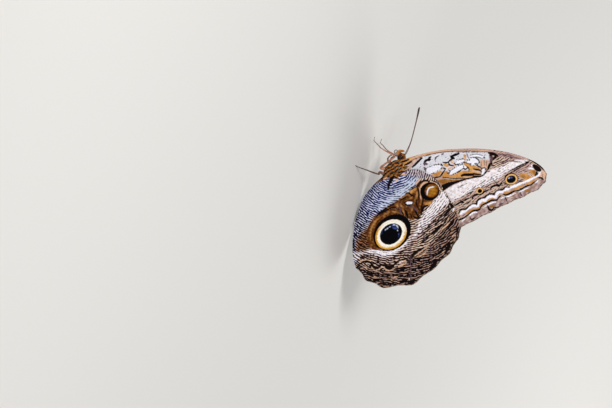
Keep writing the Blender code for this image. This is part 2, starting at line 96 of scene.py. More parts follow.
# Camera: a long lens, rolled with the insect, looking down a little
PIXEL = 0.506
PICTURE = (612, 408)
ROLL = math.radians(16)
DOWN = math.radians(15)
LENS = 400.0
SENSOR = 36.0
AIM = np.array((26.14, -6.68, -24.93))
DISTANCE = LENS / SENSOR * PICTURE[0] * PIXEL
SIGHT = np.array((0.0, math.cos(DOWN), -math.sin(DOWN)))
UPWARD = np.array((0.0, math.sin(DOWN), math.cos(DOWN)))
PICTURE_RIGHT = math.cos(ROLL) * UPWARD - math.sin(ROLL) * np.array((1.0, 0.0, 0.0))
PICTURE_DOWN = math.sin(ROLL) * UPWARD + math.cos(ROLL) * np.array((1.0, 0.0, 0.0))
CAMERA = AIM - DISTANCE * SIGHT

# Wing sheets, as in the solids
FOREWING_OUT = 0.62
WING_STEP = FOREWING_OUT + 0.5
HINGE_LINE = ((-8.5, 15.5), (2.5, 11.5))
HINGE_SPREAD = 2.5
HINGE_REACH = 5.5
FOREWING_HINGE = (-5.2, 14.6)
FOREWING_TUCK = (1.5, 2.2)
HINDWING_HINGE = (-0.2, 12.0)
HINDWING_TUCK = (2.4, 2.4)
ABDOMEN_ROOT = (1.6, 9.9)
ABDOMEN_PITCH = math.radians(14)
BULGE = 1.9
BULGE_BELOW = 5.4
BULGE_ABOVE = 7.5
BULGE_LENGTH = 20.2
BULGE_FADE = 7.0
BULGE_SHARE = 0.6
CLOSING = 0.85
CLOSING_START = 1.5
CLOSING_RUN = 10.0
SCALLOP_RUN = 8.0

FOREWING_COSTA = (
    (-6.9, 14.2), (-9.3, 17.0), (-13.9, 23.8), (-18.7, 33.3), (-22.1, 43.1), (-24.9, 53.2), (-26.6, 63.6),
    (-26.9, 73.0), (-26.1, 81.0), (-24.4, 86.0), (-21.8, 89.2),
)
FOREWING_INNER = ((20.3, 50.8), (11.1, 35.6), (5.0, 27.0), (0.0, 20.3), (-2.0, 16.6), (-3.4, 14.2))
FOREWING_SCALLOP = 0.35
FOREWING_ENDS = (
    (-21.8, 89.2), (-17.9, 90.1), (-12.8, 87.4), (-7.0, 80.9), (-2.1, 74.7), (4.5, 67.4), (11.1, 60.1),
    (17.5, 53.3), (20.3, 50.8),
)
FOREWING_VEINS = (
    ((-8.0, 16.9), (-15.0, 28.7), (-19.8, 40.9), (-22.6, 49.3), (-24.9, 55.6)),
    ((-7.4, 16.3), (-12.9, 26.3), (-17.9, 40.1), (-21.0, 55.5)),
    ((-19.2, 45.1), (-23.0, 53.8), (-26.4, 63.1)),
    ((-20.2, 50.8), (-24.1, 61.1), (-26.9, 72.8)),
    ((-21.0, 55.5), (-22.8, 64.7), (-23.8, 71.0), (-25.4, 81.9)),
    ((-23.8, 71.0), (-23.3, 80.9), (-20.6, 90.2)),
    ((-22.8, 64.7), (-21.0, 78.1), (-17.2, 89.6)),
    ((-5.6, 16.3), (-8.8, 27.5), (-10.9, 39.9), (-13.1, 53.5)),
    ((-21.0, 55.5), (-18.4, 57.6), (-15.6, 56.0), (-13.1, 53.5)),
    ((-19.2, 57.2), (-17.6, 72.1), (-12.4, 86.7)),
    ((-16.0, 56.4), (-12.3, 69.5), (-7.0, 80.9)),
    ((-13.1, 53.5), (-7.7, 64.3), (-2.1, 74.7)),
    ((-11.7, 45.1), (-3.3, 56.9), (4.5, 67.4)),
    ((-10.1, 34.7), (1.0, 47.3), (11.1, 60.1)),
    ((-4.3, 16.4), (-1.6, 22.0), (6.0, 35.0), (17.5, 53.3)),
)
HINDWING_COSTA = (
    (-2.4, 12.4), (-2.6, 16.6), (-4.6, 20.4), (-6.2, 24.8), (-5.9, 28.4), (-4.3, 33.6), (-1.0, 39.4),
    (4.9, 46.5), (10.6, 51.2), (16.5, 54.0),
)
HINDWING_INNER = (
    (50.1, 7.7), (45.5, 4.9), (40.2, 3.0), (34.8, 1.7), (29.2, 1.0), (23.5, 0.8), (17.1, 1.2), (11.6, 2.8),
    (7.2, 5.2), (3.6, 8.0), (1.4, 10.2),
)
HINDWING_SCALLOP = 0.45
HINDWING_ENDS = (
    (16.5, 54.0), (21.4, 54.6), (30.4, 52.4), (39.8, 47.0), (50.6, 38.5), (56.3, 24.4), (55.1, 14.5),
    (50.1, 7.7),
)
HINDWING_VEINS = (
    ((-1.4, 13.6), (-2.6, 23.7), (-1.6, 33.9), (2.9, 41.5), (8.0, 49.2)),
    ((-0.6, 13.4), (2.2, 22.2), (7.2, 30.8), (11.8, 42.5), (16.5, 54.0)),
    ((0.6, 13.0), (8.9, 15.0), (12.8, 19.9), (14.7, 23.7)),
    ((3.6, 24.8), (10.2, 29.5), (13.1, 27.6), (14.7, 23.7)),
    ((10.2, 29.5), (16.0, 42.7), (21.4, 54.6)),
    ((13.1, 27.6), (21.8, 40.6), (30.4, 52.4)),
    ((14.7, 23.7), (27.6, 36.8), (39.8, 47.0)),
    ((12.8, 19.9), (29.3, 30.8), (50.6, 38.5)),
    ((8.9, 15.0), (27.9, 13.5), (43.5, 17.6), (56.3, 24.4)),
    ((1.8, 11.8), (22.8, 7.4), (40.8, 8.4), (55.1, 14.5)),
    ((2.4, 10.6), (13.0, 4.9), (25.0, 3.2), (39.3, 4.6), (50.1, 7.7)),
)

# The wing skins: thinner than the solids, with finer vein ridges, and room at the margin for a fringe
SKIN_HALF = 0.15
RIM_HALF = 0.05
RIM_RUN = 1.2
VEIN_HEIGHT = 0.17
VEIN_HALF_WIDTH = 0.42
PLEAT = 0.1
PLEAT_REACH = 1.3
BUCKLE = 0.05
BUCKLE_SIZE = 9.0
SLOPE_STEP = 0.05
FOREWING_GRID = (290, 170)
HINDWING_GRID = (190, 255)
EDGE_STEP = 0.5
MARGIN_INSET = 0.4
FRINGE_STEP = 0.1
FRINGE_SUNK = 0.15
FRINGE_LENGTHS = (0.35, 0.55)
FRINGE_WIDTHS = (0.1, 0.16)

# The unwrap of the coats: each tuft is a patch this wide, inside an empty edge round the map
BAKE_PATCH = 0.003
BAKE_EDGE = 0.01
BAKE_SPAN = 0.97
HAIR_CORNERS = 10


# Shapes worked out with arrays


def smooth_line(points, step):
    """Points about a step apart on the cubic curve that passes evenly through the given ones."""
    given = np.array(points, dtype=float)
    ends = np.vstack([2 * given[0] - given[1], given, 2 * given[-1] - given[-2]])
    line = [given[:1]]
    for before, start, stop, after in zip(ends[:-3], ends[1:-2], ends[2:-1], ends[3:]):
        count = max(1, round(float(np.linalg.norm((stop - start)[:3])) / step))
        part = (np.arange(1, count + 1) / count)[:, None]
        bend = 2 * before - 5 * start + 4 * stop - after
        twist = 3 * start - before - 3 * stop + after
        line.append(0.5 * (2 * start + (stop - before) * part + bend * part**2 + twist * part**3))
    return np.vstack(line)


def evenly(line, count):
    """A number of points at equal distances along a line."""
    run = np.concatenate([[0.0], np.cumsum(np.linalg.norm(np.diff(line, axis=0), axis=1))])
    at = np.linspace(0.0, run[-1], count)
    return np.stack([np.interp(at, run, column) for column in line.T], axis=1)


def unit(vectors):
    """The vectors, each brought to length one."""
    return vectors / np.maximum(np.linalg.norm(vectors, axis=-1, keepdims=True), 1e-12)


def rise(value, start, stop):
    """0 before start, 1 after stop, and an S-shaped slope between them."""
    part = np.clip((value - start) / (stop - start), 0.0, 1.0)
    return part * part * (3 - 2 * part)


def hill(distance, reach):
    """1 on the spot, falling smoothly to nothing past the reach."""
    return np.exp(-((distance / reach) ** 2))


def segment_distance(places, start, stop):
    """Distance of each place from a straight segment, and how far along it the nearest point is, 0 to 1."""
    run = np.subtract(stop, start)
    share = np.clip((places - start) @ run / max(float(run @ run), 1e-12), 0.0, 1.0)
    return np.linalg.norm(places - start - share[:, None] * run, axis=1), share


def line_distance(places, line):
    """Distance of each place from the nearest stretch of a line."""
    best = np.full(len(places), np.inf)
    for start, stop in zip(line, line[1:]):
        np.minimum(best, segment_distance(places, start, stop)[0], out=best)
    return best


def waves(places, size, seed, count=7):
    """A soft random field from about -1 to 1: a sum of seeded plane waves about the given size long."""
    rng = np.random.default_rng(seed)
    heading = unit(rng.normal(size=(count, places.shape[1])))
    pace = 2 * math.pi / size * rng.uniform(0.6, 1.7, count)
    turn = rng.uniform(0.0, 2 * math.pi, count)
    return np.sin((places @ heading.T) * pace + turn).sum(axis=1) / math.sqrt(count * 2)


def to_frame(places):
    """Places in the maker's millimetres, with y positive to the insect's right, as metres in the frame."""
    return np.asarray(places) * MM + SHIFT


def on_wing(pixels, sheet):
    """Where the lines of sight of some pixels cross the left wing's sheet, as (x, z)."""
    pixels = np.array(pixels, dtype=float)
    across = (pixels[:, :1] - PICTURE[0] / 2) * PIXEL
    below = (pixels[:, 1:2] - PICTURE[1] / 2) * PIXEL
    ray = DISTANCE * SIGHT + across * PICTURE_RIGHT + below * PICTURE_DOWN
    out = np.full(len(pixels), 1.5)
    for _ in range(4):
        reach = (-out - CAMERA[1]) / ray[:, 1]
        place = (CAMERA + reach[:, None] * ray)[:, (0, 2)]
        out = sheet(place) + SKIN_HALF
    return place


def forewing_out(places):
    """Distance of the forewing's middle sheet from the middle plane: close above, spread at the hinge."""
    tuck, reach = FOREWING_TUCK
    spread = HINGE_SPREAD * hill(segment_distance(places, *np.array(HINGE_LINE))[0], HINGE_REACH)
    return FOREWING_OUT + spread - tuck * hill(np.linalg.norm(places - FOREWING_HINGE, axis=1), reach)


def hindwing_out(places):
    """The hindwing's middle sheet: a step outside the forewing, round the abdomen and drawn in below."""
    tuck, tuck_reach = HINDWING_TUCK
    spread = HINGE_SPREAD * hill(segment_distance(places, *np.array(HINGE_LINE))[0], HINGE_REACH)
    ahead = np.array((math.cos(ABDOMEN_PITCH), -math.sin(ABDOMEN_PITCH)))
    above = np.array((math.sin(ABDOMEN_PITCH), math.cos(ABDOMEN_PITCH)))
    along = (places - ABDOMEN_ROOT) @ ahead
    up = (places - ABDOMEN_ROOT) @ above
    past_end = np.maximum(0.0, along - BULGE_LENGTH)
    reach = np.where(up < 0, BULGE_BELOW, BULGE_ABOVE)
    round_body = np.cos(np.clip(up / reach, -1.0, 1.0) * math.pi / 2) ** 2 * hill(past_end, BULGE_FADE)
    edge = np.subtract(FOREWING_INNER[0], FOREWING_INNER[-1])
    behind = (places - FOREWING_INNER[-1]) @ (edge[1], -edge[0]) / np.linalg.norm(edge)
    drawn_in = CLOSING * rise(behind, CLOSING_START, CLOSING_START + CLOSING_RUN)
    sheet = FOREWING_OUT + WING_STEP - drawn_in + (BULGE + drawn_in) * round_body
    sheet -= tuck * hill(np.linalg.norm(places - HINDWING_HINGE, axis=1), tuck_reach)
    return sheet + spread * (1 - BULGE_SHARE * round_body)


def scalloped(ends, depth, step):
    """The outer margin: a soft wave through the vein ends, drawn in a little halfway between them."""
    ends = np.array(ends)
    middle = ends.mean(axis=0)
    points = [ends[0]]
    for start, stop in zip(ends, ends[1:]):
        run = stop - start
        length = np.linalg.norm(run)
        inward = np.array((-run[1], run[0])) / length
        if inward @ (middle - start) < 0:
            inward = -inward
        points.append((start + stop) / 2 + inward * depth * min(1.0, length / SCALLOP_RUN) ** 2)
        points.append(stop)
    return smooth_line(points, step)


def outward_of(line, middle):
    """The direction square to a flat line at each of its points, away from the middle."""
    ahead = unit(np.gradient(line, axis=0))
    outward = np.stack([ahead[:, 1], -ahead[:, 0]], axis=1)
    return outward * np.sign(((line - middle) * outward).sum(axis=1))[:, None]


# Meshes


def new_mesh(name, places, faces, materials, slots_of_faces=None):
    """A smooth-shaded piece at the origin that rides on the body, from places in millimetres and faces."""
    mesh = bpy.data.meshes.new(name)
    mesh.from_pydata(to_frame(places).tolist(), [], faces)
    for material in materials:
        mesh.materials.append(material)
    if slots_of_faces is not None:
        mesh.polygons.foreach_set("material_index", np.asarray(slots_of_faces, dtype=np.int32))
    mesh.shade_smooth()
    mesh.update()
    made = bpy.data.objects.new(name, mesh)
    bpy.context.scene.collection.objects.link(made)
    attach(made, BODY)
    return made


def store(made, name, values):
    """Keep three numbers at each vertex, for the material to read."""
    layer = made.data.attributes.new(name, "FLOAT_VECTOR", "POINT")
    layer.data.foreach_set("vector", np.ascontiguousarray(values, dtype=np.float32).ravel())


def quads(rows, columns, around=False, first=0):
    """Four-sided faces over a grid of vertices; around joins the last column to the first."""
    spans = columns if around else columns - 1
    row, column = np.meshgrid(np.arange(rows - 1) * columns, np.arange(spans), indexing="ij")
    after = (column + 1) % columns
    corners = (row + column, row + columns + column, row + columns + after, row + after)
    return (np.stack(corners, axis=-1).reshape(-1, 4) + first).tolist()


def tube_rings(line, radii, sides):
    """Rings round a line, each in the plane square to it, turned along so that they never twist.

    A ring's place is the line's point plus radius times (cos of the angle along one side axis and sin
    along the other). The side axis starts level and is carried on by taking out its part along the line.
    """
    ahead = unit(np.gradient(line, axis=0))
    start = np.cross(ahead[0], (0.0, 0.0, 1.0))
    if np.linalg.norm(start) < 0.1:
        start = np.cross(ahead[0], (0.0, 1.0, 0.0))
    side = [unit(start)]
    for heading in ahead[1:]:
        side.append(unit(side[-1] - heading * (side[-1] @ heading)))
    side = np.array(side)
    other = np.cross(ahead, side)
    angle = np.arange(sides) / sides * 2 * math.pi
    radii = np.broadcast_to(np.asarray(radii, dtype=float).reshape(len(line), -1), (len(line), sides))
    swing = np.cos(angle)[None, :, None] * side[:, None] + np.sin(angle)[None, :, None] * other[:, None]
    return line[:, None] + radii[..., None] * swing


def closed_tube(rings, first=0):
    """The vertices and faces of a tube with a pole at each end."""
    rows, sides = rings.shape[:2]
    places = np.vstack([rings.reshape(-1, 3), rings[0].mean(axis=0), rings[-1].mean(axis=0)])
    faces = quads(rows, sides, around=True, first=first)
    turn = np.arange(sides)
    after = (turn + 1) % sides
    start_pole = first + rows * sides
    last = first + (rows - 1) * sides
    faces += np.stack([np.full(sides, start_pole), turn + first, after + first], axis=1).tolist()
    faces += np.stack([np.full(sides, start_pole + 1), after + last, turn + last], axis=1).tolist()
    return places, faces


def tufts(roots, normals, lie, length, width, lift, curl):
    """Many thin three-sided tapering hairs as one list of vertices and faces, ten vertices to a hair.

    Each runs from its root along the lie by its length, rising by lift times the length and bowed by
    curl, in three rings of three corners that narrow to a tip. Everything is worked out as arrays.
    """
    share = np.array((0.0, 0.4, 0.75, 1.0))
    taper = np.array((1.0, 0.85, 0.5))
    lie = unit(lie - normals * (lie * normals).sum(axis=1, keepdims=True))
    side = np.cross(normals, lie)
    bow = np.sin(share * math.pi / 2)
    spine = roots[:, None] + lie[:, None] * (length[:, None] * share)[..., None]
    height = length[:, None] * (lift[:, None] * bow - curl[:, None] * share**2)
    spine = spine + normals[:, None] * height[..., None]
    half = width[:, None] / 2 * taper
    corner_out = np.array((-1.0, 1.0, 0.0))
    corner_up = np.array((-0.25, -0.25, 0.6))
    ring = spine[:, :3, None] + side[:, None, None] * (half[..., None] * corner_out)[..., None]
    ring = ring + normals[:, None, None] * (half[..., None] * corner_up)[..., None]
    count = len(roots)
    places = np.concatenate([ring.reshape(count, 9, 3), spine[:, 3:4]], axis=1).reshape(-1, 3)
    first = (np.arange(count) * HAIR_CORNERS)[:, None]
    pairs = ((0, 1), (1, 2), (2, 0))
    plans = [(level + a, level + b, level + 3 + b, level + 3 + a) for level in (0, 3) for a, b in pairs]
    plans += [(6 + a, 6 + b, 9) for a, b in pairs]
    plans.append((2, 1, 0))
    faces = [face for plan in plans for face in (first + np.array(plan)).tolist()]
    return places, faces


def coat(name, hairs, tones, unwrapped, finish):
    """A coat piece: its hairs, the three tone numbers of each, and each root's place on its skin's unwrap.

    In the map OFBake each tuft is a small patch at its root's place.
    """
    places, faces = hairs
    material, slot, field = finish
    made = new_mesh(name, places, faces, (material,))
    store(made, field, np.repeat(np.clip(tones, 0.0, 1.0), HAIR_CORNERS, axis=0))
    layer = made.data.uv_layers.new(name="OFBake")
    corner = np.empty(len(made.data.loops), dtype=np.int32)
    made.data.loops.foreach_get("vertex_index", corner)
    part = corner % HAIR_CORNERS
    patch = np.stack([part % 3, part // 3], axis=1) / 3.0 * BAKE_PATCH
    spread = BAKE_EDGE + BAKE_SPAN * unwrapped[corner // HAIR_CORNERS] + patch
    layer.data.foreach_set("uv", spread.astype(np.float32).ravel())
    return made


# Materials


def colour(code):
    """A linear colour from its sRGB hex code."""
    parts = [int(code[at : at + 2], 16) / 255 for at in (1, 3, 5)]
    linear = [part / 12.92 if part <= 0.04045 else ((part + 0.055) / 1.055) ** 2.4 for part in parts]
    return (*linear, 1.0)


def node(tree, kind, inputs=(), **settings):
    """Add a node with its settings; each input is given by name or number as a value or another's output."""
    made = tree.nodes.new(kind)
    for name, value in settings.items():
        setattr(made, name, value)
    for name, value in dict(inputs).items():
        if isinstance(value, bpy.types.NodeSocket):
            tree.links.new(value, made.inputs[name])
        else:
            made.inputs[name].default_value = value
    return made


def new_material(name, roughness, sheen=0.0, **sockets):
    """An empty Principled material and its tree, with the numbers that are the same all over it."""
    made = bpy.data.materials.new(name)
    made.use_nodes = True
    shader = made.node_tree.nodes["Principled BSDF"]
    shader.inputs["Roughness"].default_value = roughness
    shader.inputs["Sheen Weight"].default_value = sheen
    shader.inputs["Sheen Roughness"].default_value = 0.5
    for socket, value in sockets.items():
        shader.inputs[socket.replace("_", " ")].default_value = value
    return made, made.node_tree, shader


def fields(tree, name):
    """The three numbers stored under a name, as outputs X, Y and Z."""
    stored = node(tree, "ShaderNodeAttribute", attribute_name=name)
    return node(tree, "ShaderNodeSeparateXYZ", {0: stored.outputs["Vector"]}).outputs


def layered(tree, ground, *coats):
    """Coats laid over a ground in their order: each is a pigment and how thickly it lies, from 0 to 1."""
    for pigment, amount in coats:
        pigment = colour(pigment) if isinstance(pigment, str) else pigment
        ground = node(tree, "ShaderNodeMix", {0: amount, 6: ground, 7: pigment}, data_type="RGBA").outputs[2]
    return ground


def edged(tree, field, ragged, softness):
    """1 inside a mark and 0 outside: its stored distance, made ragged, cut off over a short run."""
    pushed = node(tree, "ShaderNodeMath", {0: field, 1: ragged}, operation="ADD").outputs[0]
    ranged = {"Value": pushed, "From Min": -softness, "From Max": softness}
    return node(tree, "ShaderNodeMapRange", ranged, interpolation_type="SMOOTHSTEP").outputs[0]


def surfaced(tree, shader, base, height, strength, depth, **settings):
    """Link the finished colour, and bumps of a height field that are as deep as given in metres."""
    tree.links.new(base, shader.inputs["Base Color"])
    bumped = {"Strength": strength, "Distance": depth, "Height": height}
    bump = node(tree, "ShaderNodeBump", bumped, **settings)
    tree.links.new(bump.outputs[0], shader.inputs["Normal"])


STRIA_SPACING = 1.13
STRIA_WAVE = 5.5
FORKS_A_METRE = 290.0
BREAKS_A_METRE = 850.0


def striae(tree, place, flow):
    """Fine dark lines and the pale ones between them, about a millimetre apart: wavy, broken and forked.

    A sine of the distance across the flow gives the lines. Its phase also turns once round each point
    where two noises are both at their middle value, and there a line forks or ends, as real striae do.
    """
    drift = node(tree, "ShaderNodeTexNoise", {"Vector": place, "Scale": FORKS_A_METRE, "Detail": 0.0})
    drifts = node(tree, "ShaderNodeSeparateColor", {0: drift.outputs["Color"]}).outputs
    first = node(tree, "ShaderNodeMath", {0: drifts[0], 1: 0.5}, operation="SUBTRACT").outputs[0]
    second = node(tree, "ShaderNodeMath", {0: drifts[1], 1: 0.5}, operation="SUBTRACT").outputs[0]
    turn = node(tree, "ShaderNodeMath", {0: first, 1: second}, operation="ARCTAN2").outputs[0]
    pitch = {0: flow["Y"], 1: 2 * math.pi / STRIA_SPACING, 2: turn}
    phase = node(tree, "ShaderNodeMath", pitch, operation="MULTIPLY_ADD").outputs[0]
    bent = node(tree, "ShaderNodeMath", {0: drifts[2], 1: STRIA_WAVE, 2: phase}, operation="MULTIPLY_ADD")
    comb = node(tree, "ShaderNodeMath", {0: bent.outputs[0]}, operation="SINE").outputs[0]
    breaks = node(tree, "ShaderNodeTexNoise", {"Vector": place, "Scale": BREAKS_A_METRE, "Detail": 1.0})
    ranged = {0: breaks.outputs["Fac"], 1: 3.0, 2: -1.5}
    rough = node(tree, "ShaderNodeMath", ranged, operation="MULTIPLY_ADD").outputs[0]
    crest = node(tree, "ShaderNodeMath", {0: comb, 1: rough}, operation="ADD").outputs[0]
    cut = node(tree, "ShaderNodeMath", {0: flow["Z"], 1: 2.8, 2: -1.4}, operation="MULTIPLY_ADD").outputs[0]
    over = node(tree, "ShaderNodeMath", {0: crest, 1: cut}, operation="ADD").outputs[0]
    dark = node(tree, "ShaderNodeMapRange", {"Value": over, "From Min": -0.05, "From Max": 0.35}).outputs[0]
    gap = node(tree, "ShaderNodeMapRange", {"Value": crest, "From Min": -0.35, "From Max": -0.95}).outputs[0]
    share = node(tree, "ShaderNodeMath", {0: flow["Z"], 1: 1.7}, operation="MULTIPLY").outputs[0]
    pale = node(tree, "ShaderNodeMath", {0: gap, 1: share}, operation="MULTIPLY", use_clamp=True).outputs[0]
    return dark, pale


def wing_underside():
    """Butterfly wing scales, underside: matt powder with a velvety sheen, in ragged-edged marks and striae.

    The eye sees soft brown, cream and slate ground crossed by fine wavy lines, and crisp marks over it.
    """
    made, tree, shader = new_material("Wing scales underside", 0.85, 0.0, Specular_IOR_Level=0.04)
    ground = fields(tree, "ground")
    tone = fields(tree, "tone")
    marks = fields(tree, "marks")
    spots = fields(tree, "spots")
    gleam = fields(tree, "gleam")
    place = node(tree, "ShaderNodeTexCoord").outputs["Object"]

    cloud = node(tree, "ShaderNodeTexNoise", {"Vector": place, "Scale": 380.0, "Detail": 3.0}).outputs["Fac"]
    blotch = node(tree, "ShaderNodeMapRange", {"Value": cloud, "From Min": 0.3, "From Max": 0.7}).outputs[0]
    tatter = node(tree, "ShaderNodeTexNoise", {"Vector": place, "Scale": 1400.0, "Detail": 3.0}).outputs["Fac"]
    ragged = node(tree, "ShaderNodeMapRange", {"Value": tatter, "To Min": -0.6, "To Max": 0.6}).outputs[0]
    fine = node(tree, "ShaderNodeMath", {0: ragged, 1: 0.4}, operation="MULTIPLY").outputs[0]
    flow = fields(tree, "flow")
    dark, pale = striae(tree, place, flow)

    tan = layered(tree, colour("#cdb2a4"), ("#b18e80", blotch))
    slate = layered(tree, colour("#7a85bc"), ("#4c5898", blotch))
    brown = layered(tree, colour("#603a22"), ("#3a2216", blotch))
    edge = layered(tree, colour("#402c28"), ("#1c1016", blotch))
    lit = layered(tree, colour("#dae4f2"), ("#b07e50", flow["X"]))
    base = layered(
        tree, tan, (slate, ground["X"]), (brown, tone["X"]), (edge, flow["X"]), ("#a07f82", tone["Y"]),
        ("#f6eff3", ground["Z"]), (lit, ground["Y"]),
    )
    light = layered(tree, colour("#e6cdb4"), ("#dedff4", ground["X"]), ("#d6b4a8", tone["Y"]))
    light = layered(tree, light, ("#fbf5f8", ground["Z"]), ("#ac8c80", flow["X"]), ("#a26e4c", tone["X"]))
    line = layered(tree, colour("#1a0a06"), ("#060828", ground["X"]), ("#462828", ground["Z"]))
    line = layered(tree, line, ("#2c161c", tone["Y"]), ("#0a0408", flow["X"]))
    base = layered(tree, base, (light, pale), (line, dark))

    gold = layered(tree, colour("#dca35f"), ("#bf7f3c", blotch), ("#552c10", tone["Z"]))
    low = node(tree, "ShaderNodeMapRange", {"Value": tone["Z"], "From Max": 0.5}).outputs[0]
    high = node(tree, "ShaderNodeMapRange", {"Value": tone["Z"], "From Min": 0.5}).outputs[0]
    ring = layered(tree, colour("#fff8ea"), ("#e0a030", low), ("#6c360c", high))
    pupil = edged(tree, spots["Z"], fine, 0.16)
    dusk = layered(tree, colour("#5e4650"), ("#3e4c88", pupil))
    # The near-black coat from marks Y lays the wing's dark marks and also the painted shade in the hindwing's
    # fold by the root
    base = layered(
        tree, base,
        (gold, edged(tree, marks["X"], ragged, 0.2)), ("#deb292", edged(tree, gleam["Z"], ragged, 0.25)),
        ("#150b0b", edged(tree, marks["Y"], fine, 0.18)), ("#f4f1fa", edged(tree, marks["Z"], ragged, 0.25)),
        ("#080607", edged(tree, spots["X"], fine, 0.2)), (ring, edged(tree, spots["Y"], fine, 0.16)),
        ("#060609", pupil), (dusk, edged(tree, gleam["Y"], ragged, 0.35)),
        ("#e8effb", edged(tree, gleam["X"], fine, 0.25)),
    )

    # Scales about a tenth of a millimetre each, drawn nearly twice as coarse so that they show close up
    cells = node(tree, "ShaderNodeTexVoronoi", {"Vector": place, "Scale": 5500.0, "Randomness": 0.7})
    speck = node(tree, "ShaderNodeSeparateColor", {0: cells.outputs["Color"]}).outputs[0]
    shade = node(tree, "ShaderNodeMapRange", {"Value": speck, "To Min": 0.84, "To Max": 1.1}).outputs[0]
    shaded = node(tree, "ShaderNodeVectorMath", {0: base, 1: shade}, operation="MULTIPLY").outputs[0]
    grit = node(tree, "ShaderNodeTexNoise", {"Vector": place, "Scale": 2600.0, "Detail": 2.0}).outputs["Fac"]
    height = node(tree, "ShaderNodeMath", {0: cells.outputs["Distance"], 1: grit}, operation="ADD").outputs[0]
    surfaced(tree, shader, shaded, height, 0.35, 0.00006)
    return made


def wing_upperside():
    """Butterfly wing scales, upper side: near-black brown, an ochre band and a dull blue sheen at the root."""
    made, tree, shader = new_material("Wing scales upper side", 0.6, 0.2, Specular_IOR_Level=0.3)
    back = fields(tree, "back")
    place = node(tree, "ShaderNodeTexCoord").outputs["Object"]
    blotch = node(tree, "ShaderNodeTexNoise", {"Vector": place, "Scale": 500.0, "Detail": 4.0}).outputs["Fac"]
    base = layered(tree, colour("#2b1a12"), ("#3f291b", blotch), ("#3b4a80", back["X"]), ("#a8742f", back["Y"]))
    grit = node(tree, "ShaderNodeTexNoise", {"Vector": place, "Scale": 5000.0, "Detail": 2.0}).outputs["Fac"]
    surfaced(tree, shader, base, grit, 0.4, 0.00005)
    return made


def insect_fur(name, roughness):
    """Insect fur and the skin under it: matt hairlike scales, in ochre, near-black and cream by their place."""
    made, tree, shader = new_material(name, roughness, 0.04, Specular_IOR_Level=0.12)
    fur = fields(tree, "fur")
    place = node(tree, "ShaderNodeTexCoord").outputs["Object"]
    blotch = node(tree, "ShaderNodeTexNoise", {"Vector": place, "Scale": 900.0, "Detail": 3.0}).outputs["Fac"]
    base = layered(tree, colour("#5e3a24"), ("#2e1a12", blotch), ("#ec9638", fur["X"]), ("#060304", fur["Y"]))
    base = layered(tree, base, ("#dcc3ae", fur["Z"]))
    grit = node(tree, "ShaderNodeTexNoise", {"Vector": place, "Scale": 7000.0, "Detail": 2.0}).outputs["Fac"]
    surfaced(tree, shader, base, grit, 0.6, 0.00008)
    return made


def leg_cuticle():
    """Insect cuticle under flat scales: satin, tan where scaled and dark reddish brown where bare."""
    made, tree, shader = new_material("Scaled cuticle", 0.45, 0.08)
    bands = fields(tree, "bands")
    place = node(tree, "ShaderNodeTexCoord").outputs["Object"]
    blotch = node(tree, "ShaderNodeTexNoise", {"Vector": place, "Scale": 1500.0, "Detail": 3.0}).outputs["Fac"]
    tan = layered(tree, colour("#e0a486"), ("#b9785a", blotch))
    base = layered(tree, colour("#3a1d12"), ("#5a3220", blotch), (tan, bands["X"]), ("#140a08", bands["Y"]))
    grit = node(tree, "ShaderNodeTexNoise", {"Vector": place, "Scale": 9000.0, "Detail": 2.0}).outputs["Fac"]
    surfaced(tree, shader, base, grit, 0.4, 0.00005)
    return made


def eye_lens():
    """Compound eye: glossy facets over near-black brown, with fainter bands."""
    made, tree, shader = new_material("Compound eye", 0.16, 0.0, Specular_IOR_Level=0.25)
    place = node(tree, "ShaderNodeTexCoord").outputs["Object"]
    facets = node(tree, "ShaderNodeTexVoronoi", {"Vector": place, "Scale": 9000.0, "Randomness": 0.15})
    band = node(tree, "ShaderNodeTexNoise", {"Vector": place, "Scale": 700.0, "Detail": 1.0}).outputs["Fac"]
    base = layered(tree, colour("#120907"), ("#3a2114", band))
    surfaced(tree, shader, base, facets.outputs["Distance"], 0.25, 0.00003, invert=True)
    return made


UNDERSIDE = wing_underside()
UPPERSIDE = wing_upperside()
SKIN = insect_fur("Furred skin", 0.8)
COAT = insect_fur("Body fur", 0.6)
CUTICLE = leg_cuticle()
EYE = eye_lens()
BODY_FUR = (COAT, "body_fur", "fur")
WING_FRINGE = (COAT, "wing_scales", "fur")
LEG_HAIR = (CUTICLE, "cuticle", "bands")


# Marks on the wings, in pixels: a stroke is its width, then the points it passes; a spot is its middle,
# its two half lengths and its turn in degrees; a zone is the points of its outline, after the width of its
# blur where it has one


HINDWING_CENTRE = (392.0, 163.0)
HINDWING_STRETCH = (1.25, 1.12)
ROW_SPACING = 3.4
MAIN_PUPIL = ((391.0, 234.0), (12.0, 9.6), -40.0)
MAIN_RING = ((391.0, 234.5), (17.0, 13.6), -40.0)
MAIN_RING_FOOT = (386.0, 262.0)
MAIN_SURROUND = ((392.1, 232.5), (20.8, 16.2), -42.0)
SECOND_SURROUND = ((429.8, 191.4), (9.8, 9.1), -25.0)
SECOND_RING = ((431.6, 190.6), (7.2, 6.5), -40.0)

